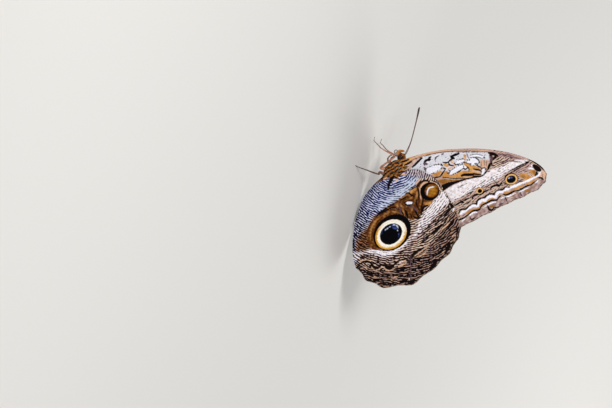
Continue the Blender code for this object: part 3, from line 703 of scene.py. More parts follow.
HINDWING_ZONES = {
    "slate": (2.0, (
        (391, 172), (402, 170), (412, 166.5), (426, 168), (432, 174), (424, 178.5), (418, 182), (415, 186.5),
        (409, 190.5), (404, 195), (399, 198.5), (396, 201), (390, 204.5), (385, 208), (381, 211.5), (376, 215),
        (372, 219), (368.5, 225), (364, 231), (359, 237), (356.5, 244), (356, 250), (358, 256), (357, 262),
        (350, 266), (344, 250), (346, 230), (351, 210), (361, 193), (371, 181), (381, 173),
    )),
    "frost": (4.0, (
        (419, 178), (414, 186), (407, 192), (400, 197.5), (393, 201.5), (386, 206), (379, 210), (377, 207),
        (384, 202), (391, 196), (398, 190), (405, 184), (411, 179),
    )),
    "smoke": (3.0, (
        (402, 171), (412, 165), (428, 167), (436, 176), (431, 181), (424, 178), (418, 180), (413, 176),
        (406, 174),
    )),
    "cream": (2.0, (
        (436, 198), (440, 194.5), (443, 191.5), (447, 196), (450, 202), (445, 206), (438, 213), (431, 221),
        (423, 230), (414, 238), (408, 243.5), (402, 248.5), (395, 254.5), (387, 257.6), (379, 257.4),
        (371, 254.5), (364, 254), (359.5, 256.5), (358.5, 260.5), (353, 260), (353, 253), (357, 252),
        (366, 250.5), (371, 249), (378, 250), (385, 251.5), (393, 249.5), (399, 246.5), (405, 243),
        (411, 237.5), (416, 230.5), (418.6, 222), (423.6, 214), (429, 207.5),
    )),
    "rose": (3.5, (
        (410, 236), (420, 226), (431, 214), (441, 206), (450, 204), (446, 212), (438, 222), (430, 231),
        (421, 239.5), (410, 247), (411, 256), (403, 259.5), (395, 262), (388, 266), (382, 264), (377, 266.5),
        (372, 262), (368, 260), (361, 262), (357, 262), (358, 256), (364, 252), (372, 252), (380, 255),
        (388, 255), (396, 252), (404, 247),
    )),
    "brown": (3.0, (
        (375, 216.5), (371, 221.5), (368, 227.5), (362, 231.5), (357.5, 238), (355.5, 245), (355.5, 251),
        (358.5, 254.5), (363, 253.5), (368, 250.3), (374, 249.5), (371.5, 242), (370.5, 235), (373, 225),
        (378, 217),
    )),
    "margin": (3.5, (
        (352, 265), (360, 265), (366, 263.5), (371, 266), (376, 270), (383, 268), (389, 270), (395, 266.5),
        (402, 262.5), (410, 258), (415, 255), (421, 250.5), (427, 246), (433, 240), (440, 230), (446, 219),
        (453, 208), (464, 206), (474, 228), (458, 258), (435, 278), (412, 296), (380, 300), (344, 282),
    )),
    "busy": (8.0, (
        (372, 256), (396, 254), (410, 241), (420, 226), (434, 210), (450, 206), (446, 222), (428, 246),
        (404, 262), (380, 268),
    )),
}
HINDWING_OCHRE_ZONES = (
    (
        (400, 198.6), (404, 195.8), (408, 192.6), (411, 190), (414, 187.5), (417, 185), (420, 182),
        (424, 180.3), (430, 181.5), (425, 190), (424, 199), (433, 200), (432.5, 203), (428.5, 206), (424, 208),
        (421, 212), (418, 217), (414, 219.5), (410, 219.5), (406, 217.5), (402.5, 213.5), (398, 209.3),
        (393, 207.6), (389.5, 208.8), (385, 211.3), (381, 213.2), (377, 215.8), (373.4, 219), (374.5, 216),
        (380, 211.8), (385, 208.4), (390, 205), (395, 201.8),
    ),
    (
        (372, 249.4), (369, 245), (367.2, 239.5), (366.6, 233), (367.8, 227.5), (370.6, 222), (374.4, 217.6),
        (379, 214.2), (384.5, 211.2), (390, 208.8), (393.5, 207.8), (397, 209.2), (400.5, 211), (402.6, 214),
        (404.3, 217.5), (400, 236), (385, 246), (377, 250),
    ),
    (
        (386, 171), (394, 167), (401, 166), (406, 168), (407, 170), (404.6, 171.8), (402, 173.2),
        (400, 175.6), (397.6, 178), (394.6, 178.8), (391.6, 177.6), (388.6, 178.2), (384.6, 179.8),
        (380.6, 181.4), (376.6, 183), (372, 184), (372, 178), (379, 174),
    ),
)
HINDWING_DEPTH = 0.96
HINDWING_GOLD = (
    (1.5, (393, 171), (393.8, 173.4), (393.4, 175.4)),
    (1.7, (397.2, 167.6), (397.9, 170), (398.2, 172)),
    (1.3, (394.6, 175.4), (396.8, 176.6)),
    (1.2, (384, 176.8), (387.6, 175.8), (391, 175.2)),
    (1.2, (399.4, 173), (401.8, 172.2)),
    (1.0, (376.4, 178.4), (378.2, 180.4)),
    (0.9, (386.6, 178), (388.6, 177.2)),
    (0.9, (401, 168), (404.4, 167.4)),
    (4.6, (408.5, 193.4), (412.4, 190.8), (416, 187.8)),
    (1.6, (376, 220.6), (373, 224.6), (371.2, 229)),
    (1.8, (401, 198.4), (406, 195)),
    (1.6, (415.5, 190.5), (417, 193.5), (417.2, 197)),
    (1.4, (403.5, 210.5), (404.3, 215.5)),
    (2.4, (395.5, 204), (397.8, 205.8)),
    (2.0, (400.6, 204.4), (402, 207.4)),
    (3.8, (424.6, 203.4), (429, 203.8), (433.5, 201.5)),
    (1.6, (425, 207.3), (429.5, 206)),
    (0.6, (400.6, 213.4), (392, 211.6), (384.5, 214.6), (378, 219), (373, 225), (370.8, 232), (370.4, 240)),
    (1.4, (412.4, 196.6), (410, 199)),
    (1.2, (413, 207), (411.6, 210.6)),
)
HINDWING_PEACH = (
    (1.5, (431.4, 181.8), (437, 184.6), (440.2, 190)),
    (1.2, (419.4, 187.6), (420, 190), (420.4, 194.6), (421, 199.4)),
    (2.4, (420.6, 187), (423, 184), (427.2, 182.2)),
    (1.8, (415.6, 184), (418.6, 180.8), (421.6, 178.6)),
    (1.4, (398.4, 266.6), (402.6, 264.6), (406.4, 262.8)),
    (1.0, (414.8, 255.8), (418.8, 253.4), (422.6, 250.2), (427, 248)),
    (1.0, (431.6, 234.8), (436, 231.2), (440.6, 227.8)),
    (1.2, (419.4, 256.6), (423.6, 254.2), (427, 251.2)),
    (1.4, (441, 230), (445.6, 226.4), (449.4, 222.6)),
    (1.4, (383.4, 179.2), (386.6, 177.8)),
    (1.9, (400.4, 174.8), (403.4, 174.2), (406, 174.4)),
    (1.3, (394.4, 181.6), (397.6, 179.4), (398.4, 177)),
    (1.2, (452.4, 212), (455.6, 209.6)),
    (1.4, (446, 221.4), (449, 218)),
    (0.9, (378, 270), (380.4, 268.4), (382.6, 267.2), (385, 268.8)),
    (0.9, (437.8, 230.4), (441.4, 226.4)),
    (0.9, (425, 247.2), (429.6, 243.4)),
    (0.9, (392, 277.6), (398, 276.4)),
    (0.9, (374, 276.6), (379, 277.6)),
    (1.0, (371.4, 267), (374, 269.9), (377, 270.7)),
    (1.0, (385.2, 269.4), (388, 270.8), (391.2, 270.2), (394.2, 268.2)),
    (1.3, (396.8, 264.6), (400, 262.5), (403.2, 261.1), (406.4, 261.5)),
    (0.9, (452, 236.6), (455.6, 234.6)),
    (0.9, (441.6, 254), (445, 250.4)),
    (0.9, (360, 261.6), (364, 260), (369, 260)),
    (1.0, (361.6, 268.6), (364.4, 267), (367, 268.6)),
)
HINDWING_INK_AND_FOLD_SHADE = (
    (1.7, (376.5, 216.2), (381, 213), (385.5, 211), (390, 208.4), (393.5, 207.4), (397, 208.8)),
    (1.6, (397, 208.8), (400.5, 210.6), (402.7, 213.2), (404.3, 217)),
    (1.5, (400, 200.2), (403.5, 198.3), (407.5, 196.6)),
    (1.9, (406.8, 192.8), (409.3, 193.2), (411.3, 195.2), (414.3, 196.2)),
    (1.2, (409.5, 190.5), (413, 188.3), (416.3, 186.6)),
    (1.6, (416.2, 186.6), (419, 184.8), (420.4, 182.3), (423, 181), (426, 180.2), (428.8, 181.4)),
    (1.5, (416.8, 187), (418.4, 190), (418.9, 194), (418.4, 199.5)),
    (1.1, (421.3, 190), (422.1, 194.5), (423.3, 199.5), (424, 203)),
    (1.4, (416.5, 200), (416.4, 204), (418, 207.2), (419.2, 210.5)),
    (1.3, (422.6, 200), (422.1, 205), (420.9, 209.3)),
    (2.6, (427.5, 205.6), (424.3, 206.8), (422.2, 210.2), (421, 214)),
    (2.6, (405.3, 210.8), (406.9, 214), (407.6, 217.4)),
    (2.2, (415, 208.8), (416.4, 213), (418.2, 216.2)),
    (1.2, (410.5, 214.5), (412.5, 218.5)),
    (2.0, (413.5, 216.4), (417, 218.4), (420.3, 217)),
    (1.1, (431.6, 180.3), (438, 183.4), (441.8, 189.6)),
    (1.1, (445.8, 195.2), (447.6, 197.8)),
    (1.3, (449, 200), (450.6, 203)),
    (3.4, (450.2, 204), (453.4, 207.6)),
    (2.2, (378, 213.6), (382.6, 210.8), (386.6, 208.2)),
    (1.8, (388.6, 206.8), (391.4, 205), (394, 204)),
    # These two wide strokes are painted shade: the dark fold by the root, at the edge of the bulge round the
    # abdomen
    (3.8, (393.6, 174.6), (391.4, 179), (389.4, 183)),
    (2.4, (389.6, 181.6), (388.6, 185), (388, 188.8)),
    (1.3, (394, 175.4), (396, 177.5), (398.5, 178.5)),
    (2.6, (398.6, 172.2), (402, 171.2), (406.4, 170.2)),
    (1.3, (399.4, 170.2), (402.6, 169.2), (406, 168.6)),
    (1.4, (394.6, 172.4), (396, 170.6), (396.4, 168.4)),
    (1.6, (384, 174.4), (388, 173), (391.6, 172.2)),
    (1.4, (377, 180.6), (380, 178.8), (383, 177.4)),
    (1.1, (386.4, 176.8), (389, 177.2)),
    (2.0, (375, 179), (377.6, 177)),
    (1.1, (399, 176.4), (401.4, 173.4)),
    (1.8, (357.5, 264.8), (361, 263.6), (364, 261.7), (367, 261.1), (369.6, 261.8)),
    (2.6, (369.6, 261.8), (371.5, 264), (373.6, 266.8), (375.8, 268.2), (378.3, 267.3), (380.4, 265.8)),
    (1.8, (380.4, 265.8), (382.6, 264.7), (385, 265)),
    (4.4, (385.3, 265.6), (389, 267.6), (393, 266)),
    (2.2, (393, 266), (395.4, 263.2), (398.5, 260.9)),
    (1.6, (398.5, 260.7), (402, 259.5), (405.2, 259.1), (408.6, 259.6)),
    (3.2, (410.6, 259), (412.6, 255.2), (415.4, 252.7), (418.4, 250.4)),
    (2.0, (418.2, 250.6), (421.2, 249.4), (423.8, 247.4)),
    (2.4, (423.8, 239.6), (427, 236.8), (430.4, 234.6)),
    (2.8, (433, 232.8), (436.6, 229.4), (440, 226.6), (443.2, 224.4)),
    (1.8, (443.2, 224.4), (446, 220), (449, 215)),
    (1.5, (452.6, 207.4), (448.6, 211.6), (445, 216), (441.4, 221.4)),
    (1.4, (447, 209.6), (441, 216), (435, 223)),
    (1.2, (430, 227.6), (424, 233.4), (417.6, 238.6)),
    (1.2, (436, 219), (430, 225), (424.6, 230)),
    (2.4, (456.8, 227.6), (457.8, 231), (456.8, 235.4)),
    (3.2, (450.2, 243), (447.8, 248.6), (445.2, 253.4)),
    (3.6, (436.2, 261.6), (433.6, 265.8), (430, 268.4)),
    (3.6, (414.4, 279.6), (410.6, 283.8), (406.6, 284.8)),
    (3.0, (357, 267.6), (359.2, 270.6)),
    (2.4, (364.6, 279.6), (368.4, 281.8)),
    (2.4, (395.6, 272.4), (399.4, 271.4)),
    (2.6, (402, 279), (407, 281)),
    (2.0, (420, 271.6), (424, 269.6)),
    (1.8, (440.6, 246.6), (437.6, 251.4)),
    (2.0, (380, 283), (388, 285)),
    (2.2, (449.8, 208.4), (447.2, 212), (443.8, 215.4)),
    (1.8, (441, 219), (437.6, 222.6), (434.6, 226)),
    (2.4, (439.6, 228), (435.4, 231.2), (431.6, 234.2)),
    (2.0, (428.4, 237), (424.6, 240.4), (420.6, 243.4)),
    (1.8, (453.6, 219.4), (450, 225), (446.8, 229)),
    (1.6, (443.6, 233), (440, 237.6), (436.4, 240.8)),
    (1.4, (434, 243), (430.4, 246.6)),
    (1.4, (404.4, 250.6), (400, 253), (396.4, 253.6)),
    (1.2, (365.4, 256.6), (369.6, 257)),
    (1.4, (398, 268.8), (403.6, 268.2)),
    (1.6, (384.6, 274.2), (390, 275.4)),
    (1.6, (368, 273.4), (372.4, 275.4)),
)
HINDWING_CHALK = (
    (1.5, (372.5, 250.3), (377, 251.2), (382, 253.2), (387, 253.8), (392.4, 252.2), (397.5, 249.2)),
    (1.2, (397.5, 249.2), (402.5, 245.8), (407, 241.2)),
    (0.5, (398, 263.6), (400.6, 262.3), (403, 261.4)),
    (1.0, (409.3, 278.4), (409.4, 280)),
    (1.8, (452.8, 210.6), (454, 208.2)),
)
HINDWING_DUSK = (
    (0.9, (411.5, 236), (410.9, 250), (410.8, 262), (410.2, 276)),
    (0.9, (430.6, 245), (430.9, 254), (432, 262)),
    (0.9, (421, 225), (423.4, 234), (426, 242)),
    (1.6, (399.4, 204), (400, 209), (401.2, 214)),
    (1.4, (409, 207), (414, 207.6), (417, 211)),
)
HINDWING_SPOT_OUTLINE = ((408.8, 203.0), (4.6, 2.6), -4.0)
HINDWING_SPOT = ((409.2, 202.9), (3.4, 1.4), -4.0)
MAIN_GLINTS = (
    (1.0, (386.7, 229), (387.9, 228)),
    (0.8, (389.3, 227.2), (390.1, 226.5)),
    (0.6, (385.3, 230), (385.9, 229.4)),
    (1.0, (393.4, 225), (394.8, 224.7)),
    (1.0, (396.1, 225.2), (397.5, 226.4), (398.1, 228)),
    (0.8, (397.5, 230), (397.8, 231)),
)
MAIN_GLINT_RING = (
    (2.2, (392.2, 225.6), (394.6, 225), (396.6, 226)),
    (2.0, (392.8, 227.8), (395.4, 228.4), (397.8, 227.6)),
    (0.8, (384.6, 230.6), (387.4, 228.2), (390, 226.3), (393, 225.2)),
    (0.6, (398.9, 232.6), (398.7, 236.8)),
    (0.5, (382.4, 230.8), (381.3, 234.4)),
)
SECOND_GLINT = ((1.3, (427.2, 194.8), (427.5, 190.6), (429.8, 187.5), (433.8, 187)),)

FOREWING_FLOW = (0.863, -0.505)
FOREWING_ZONES = {
    "frost": (1.2, (
        (410, 171.5), (412.5, 166), (417, 161), (422, 157), (430, 154.3), (440, 152.7), (452, 151.9),
        (466, 151.6), (480, 151.9), (488.5, 152.8), (489.5, 155), (488.8, 160), (480, 160), (479, 166),
        (470, 170), (461, 171), (455, 174), (449, 175), (448, 171), (444, 171), (440, 171.5), (433, 174.5),
        (433, 178), (424, 176),
    )),
    "cream": (1.2, (
        (443.5, 190.5), (449, 187.5), (455, 184.5), (462, 181.3), (470, 178.8), (479.5, 176.8), (483.5, 175.2),
        (487, 171.8), (492, 169.5), (500, 166.5), (508, 162.5), (518, 160), (527, 159.6), (528, 161),
        (522, 164.2), (514, 168.4), (506, 172.5), (500, 178), (492, 182), (480, 188), (466, 194), (454, 201),
        (450, 203), (446, 196),
    )),
    "costa": (
        0.9,
        (
            (403, 164), (412, 158.5), (420, 155.2), (430, 152.4), (440, 150.6), (460, 149.2), (485, 149.2),
            (505, 151.4), (520, 155.4), (531, 160), (527, 161.2), (514, 158.8), (500, 156.4), (490, 152.4),
            (470, 151.5), (450, 151.7), (436, 153.3), (424, 156.4), (414, 160.6), (406, 165.4),
        ),
    ),
    "lower": (
        4.0,
        (
            (488, 176), (500, 171), (508, 170), (504, 180), (500, 184), (488, 190), (476, 194), (466, 198),
            (456, 203), (450, 202), (462, 194), (476, 187),
        ),
    ),
    "margin": (
        1.2,
        (
            (452, 226), (460, 220.5), (468.5, 214.5), (473.5, 211), (479.3, 210), (486, 203.8), (492, 200.8),
            (496.8, 200.4), (500.5, 196.4), (508, 195), (515, 191.6), (524, 188), (533.5, 184), (538, 179),
            (543, 178), (550, 184), (540, 198), (520, 206), (490, 220), (462, 236), (448, 240),
        ),
    ),
    "plain": (
        1.5,
        (
            (436, 184), (444, 192), (462, 183), (484, 177), (500, 170), (528, 161), (500, 155), (488, 151),
            (440, 151), (412, 162), (410, 172), (430, 178),
        ),
    ),
    "mottled": (3.0, ((494, 158), (506, 156), (512, 160), (504, 168), (494, 168.5), (491, 163))),
    "blush": (
        2.5,
        (
            (504, 177), (508, 171.5), (516, 167), (523, 163.5), (530, 163), (534, 169), (531, 172), (521, 173),
            (518, 179), (514, 173.5), (508, 174),
        ),
    ),
}
FOREWING_OCHRE_ZONES = (
    (
        (392, 166), (396, 160), (402, 157), (409, 155.6), (413.4, 156.6), (411.6, 159.4), (408.4, 161.8),
        (407.4, 164), (406.4, 166.4), (407, 168.6), (402, 171), (392, 172),
    ),
    ((443, 163.8), (446, 163.4), (448.4, 164.2), (449.6, 166), (446, 167), (444, 165.8)),
    (
        (432, 174.2), (436, 172.5), (440.5, 170.8), (442, 171.2), (440.2, 174), (438.5, 176.2), (433, 176.4),
        (431.5, 175.2),
    ),
    (
        (441.4, 176.6), (444, 173.2), (446.4, 170.4), (448, 172.4), (449.4, 174.8), (455, 174.2), (458, 172.6),
        (462, 170.8), (468, 171), (472.5, 170.2), (474.5, 172.4), (479.5, 172.6), (481, 175), (481.5, 176.4),
        (473, 177.2), (463, 178.2), (452, 177.4), (443, 177.2),
    ),
    (
        (463.5, 162), (466.8, 162.6), (469.5, 164), (472, 165.6), (475, 165.6), (478.5, 167.4), (480.4, 168.8),
        (480.6, 170.2), (474, 170), (470, 170.4), (467.4, 168), (464, 164.6),
    ),
    (
        (437, 179.6), (445, 179.1), (455, 179.6), (465, 178.9), (461, 180.4), (455, 181.2), (449, 182),
        (441, 184.9), (439.3, 182.2),
    ),
)
FOREWING_OCHRE = (
    (1.1, (408, 157.6), (420, 153.6), (430, 151.2), (440, 149.8), (452, 148.9), (466, 148.5), (481, 148.6)),
    (0.7, (481, 148.6), (487, 149), (493, 149.6)),
    (1.2, (409, 160.3), (418, 157), (425, 155), (433, 153.4), (441, 152.2)),
    (2.6, (464.4, 155.4), (465.6, 159.4)),
    (1.6, (472, 166.4), (476, 168.2)),
    (1.6, (400, 165.2), (404, 163.6), (408, 161.8)),
    (2.2, (466, 213.6), (469, 211.8), (472, 210.6), (477, 209.4), (479, 208)),
    (2.2, (480, 206), (483, 203.6), (487, 201.6), (491.5, 199.3), (495, 199.2)),
    (2.2, (503.2, 192.2), (507, 193.2), (511, 191.6)),
    (2.2, (513.6, 190), (518, 187.6), (521, 186.4), (523, 185.6)),
    (2.4, (526.2, 184.6), (529, 183.4), (531.5, 182.6), (534.5, 179.8)),
    (2.0, (536, 178), (539.5, 176.5)),
    (5.0, (531.8, 170.8), (533.6, 172.6), (535, 174.4)),
    (5.6, (521.4, 175.4), (525, 176.4), (529.4, 177.8)),
    (3.0, (525, 191), (529, 190.4)),
    (2.4, (490, 206), (494, 207)),
    (2.6, (511, 195.6), (515, 194.8)),
    (1.6, (476.6, 190.6), (477.6, 188.2), (480, 187.3)),
    (1.4, (482.6, 188.4), (483.6, 190.6)),
)
FOREWING_DEPTH = 0.08
FOREWING_DEEP = (
    (5.0, (438, 182), (450, 180.6), (466, 179)),
    (7.0, (490, 207), (515, 196), (530, 190)),
    (3.4, (533.6, 171.6), (535.6, 174)),
    (3.4, (522, 176.4), (525, 177.2)),
    (1.4, (408, 157.6), (420, 153.6), (430, 151.2), (440, 149.8), (452, 148.9), (466, 148.5), (481, 148.6)),
    (0.9, (404.6, 163.6), (402, 165.4), (399, 168.4)),
)
FOREWING_PEACH = (
    (3.6, (481.8, 161), (482.4, 164.4), (483.6, 167)),
    (3.6, (486, 160.6), (486.6, 164), (485.8, 167)),
    (1.6, (408.4, 163.4), (412, 161.6), (415.6, 160)),
    (1.9, (452.8, 159.8), (450.8, 161.6), (453.4, 163.2), (454.8, 165.2), (452.6, 167), (448.6, 168.6)),
    (1.2, (409, 159.8), (420, 155.5), (430, 152.8), (440, 151.2), (452, 150.3), (466, 150)),
    (1.2, (466, 150), (480, 150.3), (492, 151.1)),
    (0.7, (492, 151.1), (505, 153.1), (518, 156.4), (528, 159.6)),
    (2.6, (543, 171), (544.4, 175), (543.6, 178)),
    (1.6, (541, 173), (539.6, 177)),
    (1.4, (463, 176.8), (468, 177.1), (473, 177.2)),
    (1.3, (471.8, 171.2), (475.6, 171.4), (479.2, 172.3)),
    (1.4, (532.5, 162.6), (536.8, 165.6), (540.3, 169), (541.2, 173.4), (541.8, 177)),
    (1.2, (464.8, 157.6), (465.4, 160.4)),
    (1.2, (440.4, 170.2), (443, 168.6)),
)
FOREWING_WEDGE = (
    (441.5, 184.8), (449, 182), (455, 181), (461.5, 179.6), (470, 178), (463, 180.9), (455, 184), (449, 187.2),
    (445, 190.1), (443.5, 190.4), (441.8, 188.5),
)
FOREWING_INK = (
    (0.7, (424, 156.4), (436, 153.3), (450, 151.5), (470, 151.1), (490, 151.9)),
    (2.4, (412.4, 167), (416, 163.6), (419, 160.6), (421.8, 158.1)),
    (1.9, (399.6, 162.6), (404, 161.2), (408.6, 159.6)),
    (1.9, (404.6, 165), (408, 163.4), (412, 161)),
    (1.2, (396, 165.8), (399.6, 164.4), (403, 163.4)),
    (1.5, (399.6, 167.6), (403.4, 167.2), (407.4, 166.8)),
    (1.1, (403.6, 169), (406.4, 168.4)),
    (0.9, (404, 159.2), (409, 157.4)),
    (2.6, (424.2, 162.8), (426, 160.4), (428, 159.4)),
    (2.6, (427.4, 160.2), (430.2, 159.4)),
    (2.2, (428.4, 158.6), (431, 156.8)),
    (1.4, (424.4, 165.4), (425, 162.6)),
    (1.2, (435.1, 160.6), (435.4, 157.9), (437, 156.5), (439.6, 155.2)),
    (2.7, (451.4, 156.4), (455, 154.9), (458.8, 153.7)),
    (3.0, (450.8, 156.4), (452.4, 157.8), (454, 158.4)),
    (1.9, (452.4, 158.8), (449.8, 160.4), (448.4, 162)),
    (1.7, (448.6, 162), (446, 162.8), (443, 162.4)),
    (1.7, (448.6, 162.4), (449.6, 165), (453.4, 165.6)),
    (0.7, (470, 155.2), (476, 154.2), (483, 155.6)),
    (0.8, (473.8, 156.8), (479, 157.4), (482.4, 159)),
    (1.2, (441, 163.6), (443, 166.4)),
    (1.5, (443.2, 168), (445.4, 168.6)),
    (1.5, (445.6, 168.8), (443.4, 172), (441.4, 175), (439.6, 177)),
    (1.4, (439.6, 176.8), (436, 177.4), (432.6, 178.6)),
    (1.2, (447, 173), (448.8, 173.4)),
    (1.2, (448.4, 169.9), (450.2, 171.4), (449.4, 173.6)),
    (1.5, (457, 172.6), (461, 170.3)),
    (1.1, (455.5, 164.3), (458.5, 164.2)),
    (1.6, (463.5, 166.4), (463.7, 168.4), (465.5, 169.4), (467.2, 168)),
    (1.1, (466.4, 165.8), (469, 168.8), (468.7, 171.8)),
    (1.2, (463, 163), (464.5, 161.8), (465.3, 162.6)),
    (1.3, (472.5, 157), (476, 158.2), (478.6, 160), (479.6, 162.6)),
    (1.0, (469.4, 159), (469.6, 161)),
    (1.3, (470.2, 163.3), (471.2, 164)),
    (1.3, (474.4, 163.6), (477.2, 163.3)),
    (1.5, (476, 164.8), (478.6, 166.3), (481, 167.6)),
    (1.7, (473.6, 168.9), (475.6, 169.4), (478, 169.8), (480.8, 170.6)),
    (1.1, (481.2, 168.8), (484, 167.8), (485.8, 169.2)),
    (3.0, (461.6, 175.7), (464.6, 174.8), (470, 174.7), (474.5, 174)),
    (1.8, (472.6, 174), (476.6, 174.3), (480.8, 174.6)),
    (2.0, (473, 176.2), (477, 176.5), (481.6, 176.2)),
    (1.5, (480.4, 176.2), (482.6, 175.4), (484.8, 173.4), (486.2, 172), (487.4, 169.6)),
    (1.6, (455, 182.3), (459, 181), (464, 179.4), (470, 178.1), (475, 177.3), (481, 176.6)),
    (1.0, (443, 177.4), (450, 178), (458, 178.6), (463, 178.4)),
    (1.9, (484, 157.2), (484.6, 158)),
    (3.2, (489, 153), (492, 153.6), (495, 154.6), (497.6, 156)),
    (2.6, (496, 156), (494.6, 158), (493, 159.4)),
    (2.4, (489.8, 155), (491.8, 157.4), (490.8, 160)),
    (1.4, (491, 160), (491.6, 162.5), (492.2, 164.6)),
    (2.8, (490.4, 163.4), (489.2, 166), (488.2, 169)),
    (0.8, (493.6, 159.8), (496, 158)),
    (1.3, (493.8, 165.2), (492, 166)),
    (1.1, (487.8, 171.6), (489.9, 171)),
    (1.3, (510, 157.8), (512.4, 158)),
    (1.4, (510, 170.6), (513, 169.4), (517, 167.2), (520, 165.6), (524, 164), (527, 162.6)),
    (1.0, (514.4, 170.4), (518, 169), (521, 166.9), (525, 165.1)),
    (0.9, (512.6, 172.4), (516, 170.4)),
    (2.4, (526, 162.8), (528.4, 162.2)),
    (1.0, (530, 163.4), (531.6, 164.6)),
    (5.2, (534, 165.8), (537, 168.2), (540, 170.2)),
    (2.4, (536.4, 172), (537, 174), (535.4, 175.4)),
    (1.5, (529, 159), (534, 162), (538, 164.6), (541, 167.2), (543.4, 170)),
    (1.4, (504.6, 178.8), (505.6, 176), (508, 174.3), (511.5, 173.2), (514.6, 173.8)),
    (0.9, (516.4, 175.8), (518.6, 178.6)),
    (1.0, (502, 180.4), (504, 182.6), (507, 185.2)),
    (1.9, (538.8, 177.4), (541.6, 178.2), (543.4, 179.8)),
    (2.0, (455, 205.4), (458.6, 203.4), (461, 201.6)),
    (2.6, (460.6, 201.6), (463.6, 202.4)),
    (1.8, (463.6, 200.6), (466, 199.3), (469, 198.2)),
    (2.0, (472.4, 199), (472.4, 197), (474, 195.5), (476, 194.8), (479, 194), (480.6, 194.6)),
    (1.8, (480.6, 194.4), (482.6, 193), (484, 191.6), (486, 190.9), (489, 189.7)),
    (2.2, (490.4, 188.6), (492, 187), (494, 185.7), (497, 185.2), (499, 186), (500.6, 184.2), (502, 182.9)),
    (1.4, (496.4, 183.6), (499, 185.8)),
    (1.2, (463, 205.2), (467, 203), (470.6, 201)),
    (1.1, (466, 195), (470, 192.6), (473.4, 191.4)),
    (1.2, (486, 187.4), (489, 185)),
    (2.0, (458.8, 213.4), (460, 210.6), (462, 209.3), (465.5, 209.2), (467, 208), (469, 206), (472, 204)),
    (2.0, (472, 204), (474.5, 203.6), (476.6, 204.2), (477, 201.5), (479, 199.2), (482, 198.2), (484.5, 198)),
    (2.0, (484.5, 198), (486.5, 196), (489, 194.2), (492, 194), (494.3, 194.5), (495, 192.5), (496.5, 191)),
    (1.9, (496.5, 191), (498.5, 190), (501, 190), (503, 189.3), (505, 187.5), (506, 186.6)),
    (1.7, (508.2, 187.2), (509.4, 187.2)),
    (1.2, (515.6, 184.3), (519.6, 181.4), (523, 181.4)),
    (1.9, (457, 221), (460, 219.4), (463, 218.4), (466, 216.4), (468.5, 214.4)),
    (2.0, (468.5, 214.4), (471, 212.4), (473.5, 210.8), (477, 210.4), (479.4, 209.6), (480.5, 207.2)),
    (2.0, (480.5, 207.2), (482.5, 205), (486, 203.3), (489, 201.7), (492, 200.3), (496.8, 200), (498.5, 197.5)),
    (1.5, (498.5, 197.5), (500.5, 195.8)),
    (2.0, (503.4, 194.4), (505.5, 195), (508, 194.5), (512, 192.2), (515, 191)),
    (1.7, (515, 191), (518, 190.5), (521, 189.4), (524, 187.4), (528, 185.6), (531, 184.7), (536.4, 180.6)),
    (2.2, (487.6, 205.6), (489, 209), (491.6, 210.4), (493.6, 207.8)),
    (1.6, (493.6, 207.8), (497, 207.6), (502, 205.6)),
    (1.2, (504.6, 196.2), (506, 199), (507.6, 202.4)),
    (1.5, (514.6, 199.4), (518, 199.5)),
    (1.0, (519.8, 191), (520.8, 194.4)),
    (1.4, (527.6, 194.2), (531, 193)),
    (1.4, (470, 217.6), (472, 219.6), (475, 217.6)),
    (1.0, (473.6, 188), (476, 185.6)),
    (0.8, (480.8, 188.2), (485, 184.6)),
    (0.8, (489.6, 180.2), (491.8, 177.6), (493.2, 176.4)),
    (0.8, (491, 177), (494.4, 181), (497, 184)),
    (0.8, (480, 184), (484, 181.6)),
    (0.9, (496, 163.2), (498, 161)),
    (1.1, (497.6, 165.6), (499.6, 164.6)),
    (0.9, (501, 164.2), (503.6, 162)),
    (0.9, (502.4, 166.6), (504.6, 165)),
    (1.0, (498, 158.6), (499, 158)),
    (0.9, (501, 159.8), (502, 159.2)),
)
FOREWING_CHALK_ZONES = (
    (
        (449.3, 173.6), (450.6, 171.6), (453, 169.6), (456, 167.6), (459.6, 165.8), (462.4, 164.9),
        (463.2, 167.4), (460, 169.8), (456.4, 171.8), (452.4, 174.1), (450, 174.4),
    ),
    (
        (467.2, 161), (469.2, 160.4), (471, 158.4), (474.6, 158), (477, 159.8), (478.6, 162), (477.4, 163.8),
        (474, 164.6), (471.6, 165), (469.8, 163.2), (467.6, 162.8),
    ),
    (
        (455.2, 163.2), (457, 161.4), (460, 160), (463.4, 159.4), (464, 161), (461, 162.6), (458, 163.6),
        (456, 164.2),
    ),
    ((482.3, 168.8), (485, 168.5), (484.6, 172), (483, 174.8), (481.6, 174.5), (482, 171)),
    ((426, 169), (434, 166), (440, 165), (441, 168), (436, 171), (428, 174.6), (425.5, 173)),
)
